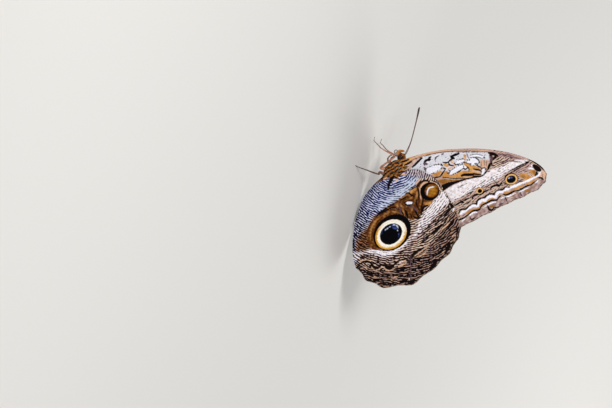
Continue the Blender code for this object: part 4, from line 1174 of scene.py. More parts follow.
FOREWING_CHALK = (
    (2.4, (465, 167), (465.8, 168)),
    (1.6, (471, 156.4), (477, 155.6), (482, 156.6)),
    (3.2, (460.6, 214), (463, 211.8), (466, 210.8)),
    (3.4, (466.4, 210.2), (469, 207.4), (473, 205.6), (476.4, 206.2)),
    (3.6, (477.8, 206), (479, 202.4), (482, 200.2), (486, 200.4)),
    (3.4, (486, 199.4), (489, 196.6), (493, 196.2), (495.6, 197.4)),
    (3.6, (496, 196.4), (496.6, 193.6), (499, 191.8), (502.4, 192.2)),
    (2.8, (503.4, 191), (506, 189.2), (509.4, 189)),
    (2.8, (510, 188), (514, 186.4), (518, 184.4), (521.6, 183)),
    (2.4, (522.6, 183), (526, 181.6), (530, 179.8), (533.4, 177.8)),
    (2.2, (533.4, 177.8), (537.4, 176), (539.6, 173.6), (541.2, 170.2)),
    (1.3, (462, 221), (465.6, 218.4)),
    (1.3, (469.6, 215.4), (473, 212.8), (477, 212.2)),
    (1.3, (482.6, 208), (486.6, 205.4), (491.6, 202.8), (496, 202)),
    (1.3, (501, 198.4), (505, 197), (510, 195.6), (515, 193.4)),
    (1.1, (519, 192), (523, 190.2), (528, 188)),
    (1.7, (528.4, 168.6), (531, 168.2), (533.6, 169.4)),
    (2.4, (531.6, 164.9), (533, 166)),
    (1.6, (535.4, 182.6), (538, 180.6)),
    (1.2, (424, 162.8), (429, 162.6)),
    (1.0, (430, 157.8), (436, 155.8), (442, 154.6)),
)
FOREWING_DUSK = (
    (2.4, (490, 156.6), (491.6, 158), (490.6, 161.4)),
    (0.8, (481.6, 160.6), (481.2, 166)),
    (0.8, (484.4, 159.6), (484.4, 165.6)),
    (0.7, (486.8, 161), (486.6, 166)),
    (2.6, (423.8, 163.6), (427, 164)),
    (2.2, (424.4, 167.4), (425.6, 170.8)),
    (1.6, (441.4, 154.6), (443.2, 153.6)),
    (1.0, (467.2, 154), (467.6, 156), (469.2, 158.6)),
    (1.4, (426.4, 175.2), (431, 176.2), (434.6, 177.6)),
    (2.0, (434.6, 179), (437.6, 182.4), (440, 187)),
    (0.8, (456, 152.4), (466, 152), (478, 152.2)),
    (0.9, (503, 155.4), (512, 157), (520, 158.8)),
    (0.8, (498, 154.2), (508, 154.6), (514, 156)),
    (0.9, (505.5, 160.4), (514, 161.4), (522, 162)),
    (0.9, (502, 162.6), (510, 160.4)),
    (1.6, (508, 178.6), (510.4, 177.4), (512.4, 177.6)),
    (1.0, (458, 187.6), (464, 184.6)),
    (1.0, (470.6, 190.4), (474, 188.6)),
    (2.0, (499, 204.8), (503, 203.4)),
    (1.6, (520, 193), (522, 196)),
)
BIG_RING = ((511.4, 179.2), (6.2, 5.1), -18.0)
BIG_PUPIL = ((511.2, 179.3), (4.6, 3.8), -18.0)
BIG_OUTLINE = ((511.3, 179.2), (6.9, 5.8), -18.0)
BIG_GLINT = (0.7, (508.4, 178.4), (509.6, 177.6))
SMALL_RING = ((479.7, 190.9), (3.3, 2.9), -20.0)
SMALL_PUPIL = ((479.9, 191.0), (2.2, 2.1), -20.0)
FIELD_REACH = 1.5


def strokes(places, sheet, marks):
    """How far inside the nearest stroke each place lies, negative outside; a stroke's ends are thinner."""
    best = np.full(len(places), -FIELD_REACH)
    for width, *pixels in marks:
        line = smooth_line(on_wing(pixels, sheet), 0.8)
        half = width * PIXEL / 2
        low = line.min(axis=0) - half - FIELD_REACH
        high = line.max(axis=0) + half + FIELD_REACH
        near = np.flatnonzero(((places > low) & (places < high)).all(axis=1))
        share = np.linspace(0.0, 1.0, len(line))
        for index, (start, stop) in enumerate(zip(line, line[1:])):
            away, part = segment_distance(places[near], start, stop)
            at = share[index] + part * (share[index + 1] - share[index])
            swell = half * (0.65 + 0.35 * np.sin(at * math.pi))
            best[near] = np.maximum(best[near], swell - away)
    return best


def zone(places, sheet, outline):
    """Signed distance of each place from a smooth closed outline, positive inside it."""
    points = on_wing(outline, sheet)
    ring = smooth_line(np.vstack([points, points[:1]]), 1.2)
    within = np.zeros(len(places), dtype=bool)
    for start, stop in zip(ring, ring[1:]):
        spans = (start[1] > places[:, 1]) != (stop[1] > places[:, 1])
        if start[1] != stop[1]:
            crossing = start[0] + (places[:, 1] - start[1]) * (stop[0] - start[0]) / (stop[1] - start[1])
            within ^= spans & (places[:, 0] < crossing)
    away = line_distance(places, ring)
    return np.where(within, away, -away)


def spot(places, sheet, mark):
    """Signed distance from an oval spot, positive inside: one minus the stretched radius, in millimetres."""
    middle, halves, turn = mark
    angle = math.radians(turn)
    axes = np.array(((math.cos(angle), math.sin(angle)), (-math.sin(angle), math.cos(angle))))
    tips = on_wing([middle, *(np.array(middle) + axes * np.array(halves)[:, None])], sheet)
    skew = np.linalg.inv((tips[1:] - tips[0]).T)
    away = places - tips[0]
    stretched = np.maximum(np.linalg.norm(away @ skew.T, axis=1), 1e-6)
    return (1 - stretched) * np.maximum(np.linalg.norm(away, axis=1), 1e-6) / stretched


def weights(places, sheet, zones, seed):
    """How much each place belongs to each zone, 0 to 1, over a border as wide as the zone's blur and wavy."""
    found = {}
    for name, (blur, outline) in zones.items():
        soft = blur * PIXEL
        found[name] = rise(zone(places, sheet, outline) + waves(places, 3.0, seed) * soft * 0.4, -soft, soft)
    return found


def hindwing_flow(places, sheet):
    """The distance that the striae follow: rings about a point above the root, narrowed toward both sides.

    In the picture's axes it is the root of stretch times x squared plus y squared, with one stretch to
    the left of that point and another to its right.
    """
    marked = np.add(HINDWING_CENTRE, ((0, 0), (1, 0), (0, 1)))
    centre, right, below = on_wing(marked, sheet)
    axes = np.linalg.inv(np.stack([right - centre, below - centre], axis=1))
    across, down = (axes @ (places - centre).T) * PIXEL
    stretch = np.where(across < 0, *HINDWING_STRETCH)
    return np.sqrt(stretch * across**2 + down**2)


def hindwing_pattern(places, sheet):
    """The hindwing's underside: slate and brown ground, two eyespots, and lines parallel to the margin."""
    weight = weights(places, sheet, HINDWING_ZONES, 3)
    distance = hindwing_flow(places, sheet)
    margin = weight["margin"]
    turn = distance * 2 * math.pi / ROW_SPACING + 1.5 * waves(places, 8.0, 31)
    rows = np.sin(turn)
    gilt = 0.8 * margin * rise(rows + 0.9 * waves(places, 3.0, 32), 0.3, 1.2)
    blush = margin * rise(np.sin(turn + 1.4) + 0.9 * waves(places, 3.0, 33), 0.5, 1.3)
    ochre_zone = np.max([zone(places, sheet, outline) for outline in HINDWING_OCHRE_ZONES], axis=0)
    low = weight["slate"] * rise(distance, 22.0, 42.0)
    density = 0.56 - 0.02 * weight["slate"] + 0.28 * low - 0.3 * weight["frost"] - 0.1 * weight["smoke"]
    density = density + weight["rose"] * (0.04 + 0.26 * rise(distance, 42.0, 48.0))
    density = density - 0.34 * weight["cream"] * (1 - 0.5 * weight["busy"])
    density = np.maximum(density, 0.12) + margin * (0.05 + 0.15 * rise(distance, 45.0, 51.0) - 0.2 * rows)
    density = density * (1 - rise(ochre_zone, -0.2, 0.4))
    # The near-black marks include painted shade in the fold by the root, besides the wing's own dark marks
    ink = np.maximum(strokes(places, sheet, HINDWING_INK_AND_FOLD_SHADE), spot(places, sheet, HINDWING_SPOT_OUTLINE))
    chalk = np.maximum(strokes(places, sheet, HINDWING_CHALK), spot(places, sheet, HINDWING_SPOT))
    surround = np.maximum(spot(places, sheet, MAIN_SURROUND), spot(places, sheet, SECOND_SURROUND))
    ring = spot(places, sheet, MAIN_RING)
    second = spot(places, sheet, SECOND_RING)
    depth = HINDWING_DEPTH * (1 - 0.7 * rise(strokes(places, sheet, HINDWING_GOLD), -0.6, 0.6))
    depth = depth + 0.25 * waves(places, 2.5, 34)
    middle, below = on_wing([MAIN_RING[0], MAIN_RING_FOOT], sheet)
    lower = rise(unit(places - middle) @ unit(below - middle), -0.75, 0.0)
    warmth = 0.55 * (1 - rise(ring + 0.3 * waves(places, 1.6, 36), 0.5, 1.5)) * (0.1 + 0.9 * lower)
    warmth = np.where(ring > -0.6, warmth, depth)
    amber = 1.0 - 0.18 * rise(second, 0.1, 1.6) + 0.1 * waves(places, 2.2, 35)
    warmth = np.where(second > -0.6, amber, warmth)
    glint = np.maximum(strokes(places, sheet, MAIN_GLINTS), strokes(places, sheet, SECOND_GLINT))
    dusk = np.maximum(strokes(places, sheet, MAIN_GLINT_RING), strokes(places, sheet, HINDWING_DUSK))
    slate = weight["slate"] * (1 - 0.6 * weight["smoke"])
    rose = np.maximum(weight["rose"] * 0.7 * (1 - margin), blush * 0.8)
    return {
        "ground": (slate, np.maximum(weight["frost"] * 0.8, gilt), weight["cream"] * 0.9 * (1 - margin)),
        "tone": (weight["brown"], rose, np.clip(warmth, 0, 1)),
        "marks": (ochre_zone, ink, chalk),
        "spots": (surround, np.maximum(ring, second), spot(places, sheet, MAIN_PUPIL)),
        "flow": (margin, distance, np.clip(density, 0, 1)),
        "gleam": (glint, dusk, strokes(places, sheet, HINDWING_PEACH)),
    }


def forewing_pattern(places, sheet):
    """The forewing's underside: a white cell with dark and ochre blocks, a cream band and wavy lines."""
    weight = weights(places, sheet, FOREWING_ZONES, 5)
    start, ahead = on_wing([(480.0, 180.0), np.add((480.0, 180.0), FOREWING_FLOW)], sheet)
    ahead = unit(ahead - start)
    across = (places - start) @ np.array((-ahead[1], ahead[0]))
    density = 0.28 - 0.16 * weight["cream"] * (1 - 0.8 * weight["lower"])
    density = density * (1 - 0.7 * np.maximum(weight["plain"], weight["margin"])) + 0.32 * weight["mottled"]
    ochre = np.max([zone(places, sheet, outline) for outline in FOREWING_OCHRE_ZONES], axis=0)
    ochre = np.maximum(ochre, strokes(places, sheet, FOREWING_OCHRE))
    ink = np.maximum(strokes(places, sheet, FOREWING_INK), zone(places, sheet, FOREWING_WEDGE))
    chalk = np.max([zone(places, sheet, outline) for outline in FOREWING_CHALK_ZONES], axis=0)
    ink = np.maximum(ink, 0.1 + 0.4 * waves(places, 1.6, 53) - np.abs(chalk + 0.35))
    chalk = np.maximum(chalk, strokes(places, sheet, FOREWING_CHALK))
    density = density * (1 - rise(chalk, -0.8, 0.0)) * (1 - rise(ochre, -0.4, 0.2))
    chalk = np.minimum(chalk, -ink)
    ring = np.maximum(spot(places, sheet, BIG_RING), spot(places, sheet, SMALL_RING))
    pupil = np.maximum(spot(places, sheet, BIG_PUPIL), spot(places, sheet, SMALL_PUPIL))
    deep = 0.5 * rise(strokes(places, sheet, FOREWING_DEEP), -0.5, 0.5)
    warmth = np.where(ring > -0.6, 0.42, FOREWING_DEPTH + deep + 0.12 * waves(places, 2.5, 52))
    patches = rise(waves(places, 3.4, 51), -0.4, 0.4)
    pale = weight["cream"] * (0.86 + 0.3 * waves(places, 3.0, 54))
    pale = np.maximum(pale, 0.5 * weight["frost"] + 0.12 * weight["margin"] * (1 - patches))
    rose = np.maximum(0.85 * weight["costa"], 0.3 * weight["lower"] + 0.6 * weight["blush"])
    rose = np.maximum(rose, 0.36 * weight["margin"])
    return {
        "ground": (0 * ring, 0.55 * weight["frost"], np.clip(pale, 0, 1)),
        "tone": (0.6 * weight["margin"] * patches, rose, np.clip(warmth, 0, 1)),
        "marks": (ochre, ink, chalk),
        "spots": (spot(places, sheet, BIG_OUTLINE), ring, pupil),
        "flow": (0 * ring, across, np.clip(density, 0, 1)),
        "gleam": (
            strokes(places, sheet, (BIG_GLINT,)), strokes(places, sheet, FOREWING_DUSK),
            strokes(places, sheet, FOREWING_PEACH),
        ),
    }


def back_pattern(places):
    """The upper side: a blue weight that fades from the root and an ochre band near the outer margin."""
    away = np.linalg.norm(places - np.array((-2.0, 13.0)), axis=1)
    blue = 0.5 * (1 - rise(away, 18.0, 42.0))
    band = 0.7 * rise(away, 52.0, 58.0) * (1 - rise(away, 64.0, 70.0))
    return np.stack([blue, band, 0 * band], axis=1)


# Wings


def wing_grid(costa, margin, inner, rows, columns):
    """A wing laid out flat as a grid of (x, z), rows from root to margin, columns from costa to inner edge.

    It is a Coons patch: the blend of the two side edges, plus the blend of root and margin, less the
    blend of the four corners.
    """
    front = evenly(costa, rows)
    rear = evenly(inner[::-1], rows)
    outer = evenly(margin, columns)
    root = evenly(np.array((front[0], rear[0])), columns)
    u = np.linspace(0.0, 1.0, rows)[:, None, None]
    v = np.linspace(0.0, 1.0, columns)[None, :, None]
    corners = (1 - u) * ((1 - v) * front[0] + v * rear[0]) + u * ((1 - v) * front[-1] + v * rear[-1])
    return (1 - v) * front[:, None] + v * rear[:, None] + (1 - u) * root[None] + u * outer[None] - corners


def wing(kind, side, places, shape, veins, sheet, pattern):
    """One wing skin with its pattern: an outer and an inner face of the same grid, closed round the rim.

    The faces stand off the middle sheet along its normal by half the thickness, thinner to the rim, plus
    a ridge over each vein, and the sheet rises a little toward the veins, as a pleated wing does.
    """
    rows, columns = shape
    out = sheet(places)
    lean_x = (sheet(places + (SLOPE_STEP, 0.0)) - out) / SLOPE_STEP
    lean_z = (sheet(places + (0.0, SLOPE_STEP)) - out) / SLOPE_STEP
    normal = unit(np.stack([-lean_x, np.ones(len(out)), -lean_z], axis=1))
    near = np.min([line_distance(places, smooth_line(vein, 1.5)) for vein in veins], axis=0)
    grid = places.reshape(rows, columns, 2)
    rim_line = np.vstack([grid[:, 0], grid[-1, 1:], grid[::-1, -1][1:]])[::4]
    rim = line_distance(places, rim_line)
    half = RIM_HALF + (SKIN_HALF - RIM_HALF) * rise(rim, 0.0, RIM_RUN)
    ridge = VEIN_HEIGHT * np.cos(np.clip(near / VEIN_HALF_WIDTH, 0.0, 1.0) * math.pi / 2) ** 2
    ridge = ridge * rise(rim, 0.0, 1.0)
    pleat = PLEAT * (hill(near, PLEAT_REACH) - 0.5) + BUCKLE * waves(places, BUCKLE_SIZE, 11)
    middle = np.stack([places[:, 0], out, places[:, 1]], axis=1) + normal * pleat[:, None]
    outer = middle + normal * (half + ridge)[:, None]
    inner = middle - normal * (half + 0.5 * ridge)[:, None]
    count = rows * columns
    points = np.vstack([outer, inner]) * (1, side, 1)
    outer_faces = np.array(quads(rows, columns))
    index = np.arange(count).reshape(rows, columns)
    loop = np.concatenate([index[:, 0], index[-1, 1:], index[::-1, -1][1:], index[0, ::-1][1:-1]])
    after = np.roll(loop, -1)
    rim_faces = np.stack([after, loop, loop + count, after + count], axis=1)
    inner_faces = outer_faces[:, ::-1] + count
    faces = np.vstack([outer_faces, rim_faces, inner_faces])
    if side == LEFT:
        faces = faces[:, ::-1]
    slots = np.repeat((0, 0, 1), (len(outer_faces), len(rim_faces), len(inner_faces)))
    name = f"{kind}_{SIDE_NAMES[side]}"
    made = new_mesh(f"{name}_skin", points, faces.tolist(), (UNDERSIDE, UPPERSIDE), slots)
    for field, values in pattern.items():
        store(made, field, np.tile(np.stack(values, axis=1), (2, 1)))
    store(made, "back", np.tile(back_pattern(places), (2, 1)))
    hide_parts(name)


def fringe(kind, side, margin, sheet, middle):
    """Scales that stand past the outer margin in a close row, by turns pale and dark."""
    count = int(np.linalg.norm(np.diff(margin, axis=0), axis=1).sum() / FRINGE_STEP)
    line = evenly(margin, count)
    outward = outward_of(line, middle)
    ahead = unit(np.gradient(line, axis=0))
    roots = np.stack([line[:, 0], sheet(line), line[:, 1]], axis=1)
    roots -= np.stack([outward[:, 0], np.zeros(count), outward[:, 1]], axis=1) * FRINGE_SUNK
    lie = np.stack([outward[:, 0], draw.normal(0.0, 0.12, count), outward[:, 1]], axis=1)
    lie[:, (0, 2)] += ahead * draw.normal(0.0, 0.2, count)[:, None]
    normals = np.tile((0.0, 1.0, 0.0), (count, 1))
    flat = np.zeros(count)
    length = draw.uniform(*FRINGE_LENGTHS, count)
    places, faces = tufts(roots, normals, lie, length, draw.uniform(*FRINGE_WIDTHS, count), flat, flat)
    places = places * (1, side, 1)
    if side == LEFT:
        faces = [face[::-1] for face in faces]
    turn = (np.sin(np.arange(count) / count * 150.0) > 0.2) * 0.8 + draw.uniform(0.0, 0.2, count)
    tones = np.stack([0.2 + 0 * turn, 1 - turn, 0.5 * turn], axis=1)
    unwrapped = np.stack([np.linspace(0.0, 1.0, count), np.full(count, 0.5)], axis=1)
    coat(f"{kind}_{SIDE_NAMES[side]}_fringe", (places, faces), tones, unwrapped, WING_FRINGE)


def wings():
    """Both pairs of wings, each with its fringe; the margin is drawn in a little to leave room for it."""
    plans = {
        "forewing": (
            FOREWING_COSTA, FOREWING_ENDS, FOREWING_SCALLOP, FOREWING_INNER, FOREWING_VEINS, forewing_out,
            forewing_pattern, FOREWING_GRID,
        ),
        "hindwing": (
            HINDWING_COSTA, HINDWING_ENDS, HINDWING_SCALLOP, HINDWING_INNER, HINDWING_VEINS, hindwing_out,
            hindwing_pattern, HINDWING_GRID,
        ),
    }
    for kind, (costa, ends, depth, inner, veins, sheet, pattern_of, shape) in plans.items():
        margin = scalloped(ends, depth, EDGE_STEP)
        middle = np.array(ends).mean(axis=0) * 0.5
        share = np.linspace(0.0, 1.0, len(margin))
        inset = MARGIN_INSET * np.minimum(1.0, np.minimum(share, 1 - share) * 20)
        margin = margin - outward_of(margin, middle) * inset[:, None]
        flat = wing_grid(smooth_line(costa, EDGE_STEP), margin, smooth_line(inner, EDGE_STEP), *shape)
        flat = flat.reshape(-1, 2)
        pattern = pattern_of(flat, sheet)
        for side in (LEFT, RIGHT):
            wing(kind, side, flat, shape, veins, sheet, pattern)
            fringe(kind, side, margin, sheet, middle)


# Body


HEAD_CENTRE = (-10.0, 14.5)
HEAD_RADII = (2.2, 1.9, 2.2)
THORAX_CENTRE = (-2.1, 12.75)
THORAX_PITCH = math.radians(32)
THORAX_SECTIONS = (
    (-6.4, 0.7, 0.9, 0.9), (-5.4, 0.5, 2.4, 2.3), (-3.0, 0.2, 4.2, 3.8), (0.5, 0.1, 4.8, 4.3),
    (3.5, 0.2, 4.3, 3.9), (5.8, 0.4, 3.2, 3.0), (7.3, 0.5, 1.9, 1.9), (7.9, 0.5, 0.8, 0.8),
)
ABDOMEN_SECTIONS = (
    (0.0, 0.0, 1.6, 1.5), (-2.5, 0.0, 2.1, 2.0), (-8.0, 0.0, 2.6, 2.5), (-13.5, 0.0, 2.5, 2.4),
    (-18.5, 0.0, 1.9, 1.8), (-22.0, 0.0, 1.1, 1.1), (-23.2, 0.0, 0.5, 0.5),
)
STRIPE_PITCH = math.radians(45)
BODY_LINE = (
    (-12.15, 14.4), (-10.0, 14.5), (-7.6, 15.2), (-5.0, 14.6), (-2.1, 12.75), (3.0, 9.8), (8.0, 8.35),
    (24.0, 4.35),
)
BODY_ROWS = 260
BODY_SIDES = 96
COAT_DEPTH = 0.4


def turned(x, z, middle, pitch):
    """How far ahead of a middle and above it places lie, along axes raised by a pitch toward the head."""
    ahead = (x - middle[0]) * -math.cos(pitch) + (z - middle[1]) * math.sin(pitch)
    above = (x - middle[0]) * math.sin(pitch) + (z - middle[1]) * math.cos(pitch)
    return ahead, above


def egg_field(x, out, z, pitch, place, sections, depth):
    """Rough distance from a lofted body, negative inside: the stretched radius in its ring, less one."""
    ahead, above = turned(x, z, place, pitch)
    table = np.array(sorted(sections))
    lift, high, wide = (np.interp(ahead, table[:, 0], column) for column in table[:, 1:].T)
    over = np.maximum(0.0, np.maximum(table[0, 0] - ahead, ahead - table[-1, 0]))
    high = np.maximum(high - depth, 0.15)
    wide = np.maximum(wide - depth, 0.15)
    ring = np.sqrt(((above - lift) / high) ** 2 + (out / wide) ** 2)
    return (ring - 1) * np.minimum(high, wide) + over


def body_field(x, out, z):
    """The head, thorax and abdomen blended softly into one form: a smooth minimum of their three fields."""
    hx, hy, hz = np.subtract(HEAD_RADII, COAT_DEPTH * 0.7)
    head = np.sqrt(((x - HEAD_CENTRE[0]) / hx) ** 2 + (out / hy) ** 2 + ((z - HEAD_CENTRE[1]) / hz) ** 2)
    parts = np.stack([
        (head - 1) * hy,
        egg_field(x, out, z, THORAX_PITCH, THORAX_CENTRE, THORAX_SECTIONS, COAT_DEPTH),
        egg_field(x, out, z, ABDOMEN_PITCH, ABDOMEN_ROOT, ABDOMEN_SECTIONS, COAT_DEPTH * 0.4),
    ])
    return -np.log(np.exp(-parts * 4.0).sum(axis=0)) / 4.0


def body_surface(rows, sides):
    """The body's skin as rings square to X: where the blended field is nought along rays from the middle line.

    The radius is found by halving the interval between the line and five and a half millimetres out.
    """
    line = np.array(BODY_LINE)
    part = (1 - np.cos(np.linspace(0.0, math.pi, rows))) / 2
    x = line[0, 0] + (line[-1, 0] - line[0, 0]) * (0.15 * part + 0.85 * np.linspace(0.0, 1.0, rows))
    z = np.interp(x, line[:, 0], line[:, 1])
    angle = np.arange(sides) / sides * 2 * math.pi
    low = np.zeros((rows, sides))
    high = np.full((rows, sides), 5.5)
    for _ in range(26):
        middle = (low + high) / 2
        height = z[:, None] + middle * np.cos(angle)
        field = body_field(x[:, None] + 0 * middle, middle * np.sin(angle), height)
        low = np.where(field < 0, middle, low)
        high = np.where(field < 0, high, middle)
    radius = (low + high) / 2
    share = np.linspace(0.0, 1.0, rows)
    radius *= (np.minimum(1.0, np.sqrt(share * 60.0)) * np.minimum(1.0, np.sqrt((1 - share) * 90.0)))[:, None]
    return np.stack([
        x[:, None] + 0 * radius,
        radius * np.sin(angle),
        z[:, None] + radius * np.cos(angle),
    ], axis=-1)


def body_marks(places):
    """Weights of ochre, near-black and cream on the body: rows of spots on the thorax, plainer behind."""
    x, _, z = places.T
    ahead, above = turned(x, z, THORAX_CENTRE, STRIPE_PITCH)
    wobble = waves(places, 4.0, 21)
    rows = np.sin((above + 0.45 * wobble) * 2 * math.pi / 1.65)
    beads = np.sin((ahead + 0.6 * waves(places, 3.0, 22)) * 2 * math.pi / 2.3 + above * 2.0)
    on_thorax = rise(ahead, -5.5, -3.5) * (1 - rise(ahead, 7.5, 9.0))
    ochre = rise(rows, 0.0, 0.5) * (0.5 + 0.5 * rise(beads, -0.6, 0.3)) * on_thorax
    ink = rise(-rows, -0.6, -0.1) * rise(beads, -1.0, -0.5) * on_thorax
    cream = rise(-rows, -0.1, 0.4) * rise(-beads, 0.75, 1.0) * on_thorax * 0.5
    on_head = 1 - rise(x, -9.2, -8.2)
    ochre = np.maximum(ochre, on_head * 0.75)
    ring = np.sin((x - 4.0) * 2 * math.pi / 2.75)
    behind = rise(x, 3.0, 6.0)
    ochre = np.maximum(ochre, behind * 0.35 * rise(ring, -0.2, 0.8))
    cream = np.maximum(cream, behind * rise(-z + np.interp(x, (0.0, 24.0), (9.8, 4.3)), 0.6, 1.8) * 0.6)
    return np.stack([ochre, ink, cream], axis=1)


def body():
    """One skin for head, thorax and abdomen, and its coat of tufts in three pieces."""
    rings = body_surface(BODY_ROWS, BODY_SIDES)
    places, faces = closed_tube(rings)
    skin = new_mesh("body_skin", places, [face[::-1] for face in faces], (SKIN,))
    store(skin, "fur", body_marks(places))
    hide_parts("head", "thorax", "abdomen")
    run_u = np.gradient(rings, axis=0)
    run_v = np.roll(rings, -1, axis=1) - np.roll(rings, 1, axis=1)
    outward = unit(np.cross(run_v, run_u))
    outward *= np.sign((outward * (rings - rings.mean(axis=1, keepdims=True))).sum(axis=-1, keepdims=True))
    area = np.linalg.norm(np.cross(run_u, run_v), axis=-1)
    area[:3] = 0
    area[-3:] = 0
    x = rings[..., 0]
    lots = {
        "thorax_coat": ((x > -8.6) & (x < 4.5), 7500, -0.9, (0.6, 1.2), (0.12, 0.2), (0.2, 0.5)),
        "abdomen_coat": (x >= 3.0, 4600, -0.25, (0.55, 0.95), (0.14, 0.24), (0.1, 0.25)),
        "head_coat": (x <= -8.0, 2600, -0.25, (0.4, 0.9), (0.09, 0.15), (0.3, 0.7)),
    }
    for name, (where, count, fall, lengths, widths, lifts) in lots.items():
        odds = (area * where).ravel()
        pick = draw.choice(odds.size, size=count, p=odds / odds.sum())
        roots = rings.reshape(-1, 3)[pick] + draw.normal(0.0, 0.04, (count, 3))
        lie = np.tile((1.0, 0.0, fall), (count, 1)) + draw.normal(0.0, 0.18, (count, 3))
        length = draw.uniform(*lengths, count)
        width = draw.uniform(*widths, count)
        lift = draw.uniform(*lifts, count)
        hairs = tufts(roots, outward.reshape(-1, 3)[pick], lie, length, width, lift, lift * 0.5)
        tones = body_marks(roots) + draw.normal(0.0, 0.08, (count, 3))
        unwrapped = np.stack([pick // BODY_SIDES / BODY_ROWS, pick % BODY_SIDES / BODY_SIDES], axis=1)
        coat(name, hairs, tones, unwrapped, BODY_FUR)


def eyes():
    """Two egg-shaped compound eyes."""
    rows, sides = 40, 64
    tilt = np.linspace(0.02, math.pi - 0.02, rows)
    angle = np.arange(sides) / sides * 2 * math.pi
    ball = np.stack([
        np.sin(tilt)[:, None] * np.cos(angle),
        np.cos(tilt)[:, None] + 0 * angle,
        np.sin(tilt)[:, None] * np.sin(angle),
    ], axis=-1)
    for side in (LEFT, RIGHT):
        centre = np.array(EYE_PLACE) * (1, side, 1)
        places, faces = closed_tube(ball * EYE_RADII + centre)
        made = new_mesh(f"eye_{SIDE_NAMES[side]}_lens", places, faces, (EYE,))
        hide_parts(f"eye_{SIDE_NAMES[side]}")


# Feelers, palps, tongue and legs


PALP_PATH = (
    (-10.2, 1.2, 12.8), (-11.6, 1.2, 12.3), (-12.7, 1.15, 13.0), (-13.1, 1.05, 14.0), (-13.2, 1.0, 14.9),
)
PALP_RADII = (0.5, 0.6, 0.52, 0.38, 0.16)
TONGUE_ROOT = (-10.4, 12.9)
TONGUE_CENTRE = (-11.9, 11.1)
TONGUE_COIL = 1.15
TONGUE_PITCH = 0.72
TONGUE_TURNS = 1.25
TONGUE_RADIUS = 0.22
ANTENNA_PATHS = {
    LEFT: (
        (-10.8, 0.7, 15.3), (-12.6, 1.2, 16.3), (-18.4, 3.0, 17.7), (-24.7, 5.5, 18.3), (-31.2, 8.0, 18.8),
        (-35.6, 9.8, 19.0), (-36.6, 10.2, 19.0),
    ),
    RIGHT: (
        (-10.8, 0.7, 15.3), (-12.6, 1.2, 16.2), (-18.4, 2.6, 16.5), (-24.7, 4.6, 15.9), (-31.2, 6.6, 15.0),
        (-35.6, 7.8, 14.3), (-36.6, 8.1, 14.1),
    ),
}
ANTENNA_RADII = (0.26, 0.2, 0.19, 0.21, 0.34, 0.38, 0.16)
ANTENNA_RINGS = 54
FOOT_HEIGHT = 0.15
FORELEG_PATH = ((-5.0, 1.4, 10.4), (-6.4, 2.5, 8.9), (-8.0, 2.9, 8.8), (-9.5, 3.1, 10.0), (-10.2, 3.1, 11.6))
FORELEG_RADII = (0.5, 0.42, 0.34, 0.27, 0.14)
MIDLEG_PATH = (
    (-1.9, 2.0, 8.0), (-2.0, 3.4, 6.6), (-5.6, 4.9, 9.6), (-9.2, 5.6, 12.5), (-10.1, 6.0, 9.6), (-11.4, 6.4, 4.8),
    (-12.8, 6.7, 2.4), (-14.2, 6.9, FOOT_HEIGHT), (-16.0, 7.2, FOOT_HEIGHT),
)
MIDLEG_RADII = (0.85, 0.6, 0.46, 0.36, 0.3, 0.25, 0.19, 0.16, 0.12)
HINDLEG_PATHS = {
    LEFT: (
        (0.6, 2.0, 8.4), (0.4, 4.0, 7.0), (1.0, 9.0, 7.8), (1.6, 13.4, 9.1), (1.6, 15.8, 7.4), (1.3, 20.6, 3.6),
        (1.1, 24.0, 1.2), (0.9, 26.4, FOOT_HEIGHT), (0.8, 28.4, FOOT_HEIGHT),
    ),
    RIGHT: (
        (0.6, 2.0, 8.4), (0.8, 4.0, 7.0), (5.2, 8.0, 8.0), (9.2, 11.4, 9.2), (10.6, 12.8, 7.0), (13.6, 15.4, 3.4),
        (15.6, 17.2, 1.2), (17.2, 18.6, FOOT_HEIGHT), (18.5, 19.8, FOOT_HEIGHT),
    ),
}
HINDLEG_RADII = (0.85, 0.6, 0.46, 0.38, 0.31, 0.25, 0.19, 0.16, 0.12)


def jointed_line(path, radii, side, step):
    """A smooth line through a limb's points with the radius carried along as a fourth number."""
    line = smooth_line([(*place, radius) for place, radius in zip(path, radii)], step)
    line[:, 1] *= side
    return line[:, :3], line[:, 3]


def antennae():
    """Feelers of many short rings, each a little waisted, ending in a slim club."""
    for side in (LEFT, RIGHT):
        line, radius = jointed_line(ANTENNA_PATHS[side], ANTENNA_RADII, side, 0.09)
        share = np.linspace(0.0, 1.0, len(line))
        ring = np.abs(np.sin(share * ANTENNA_RINGS * math.pi))
        radius = radius * (0.86 + 0.16 * ring**0.5)
        radius[-8:] *= np.sqrt(np.linspace(1.0, 0.05, 8))
        places, faces = closed_tube(tube_rings(line, radius, 16))
        name = f"antenna_{SIDE_NAMES[side]}"
        made = new_mesh(f"{name}_rings", places, faces, (CUTICLE,))
        pale = np.repeat(rise(-ring, -0.35, -0.1) * (1 - rise(share, 0.75, 0.85)), 16)
        dark = np.repeat(0.35 + 0.5 * rise(share, 0.8, 0.9) * (1 - rise(share, 0.965, 0.985)), 16)
        bands = np.stack([0.75 * pale, dark, 0 * dark], axis=1)
        store(made, "bands", np.vstack([bands, bands[:1], bands[-1:]]))
        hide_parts(name)


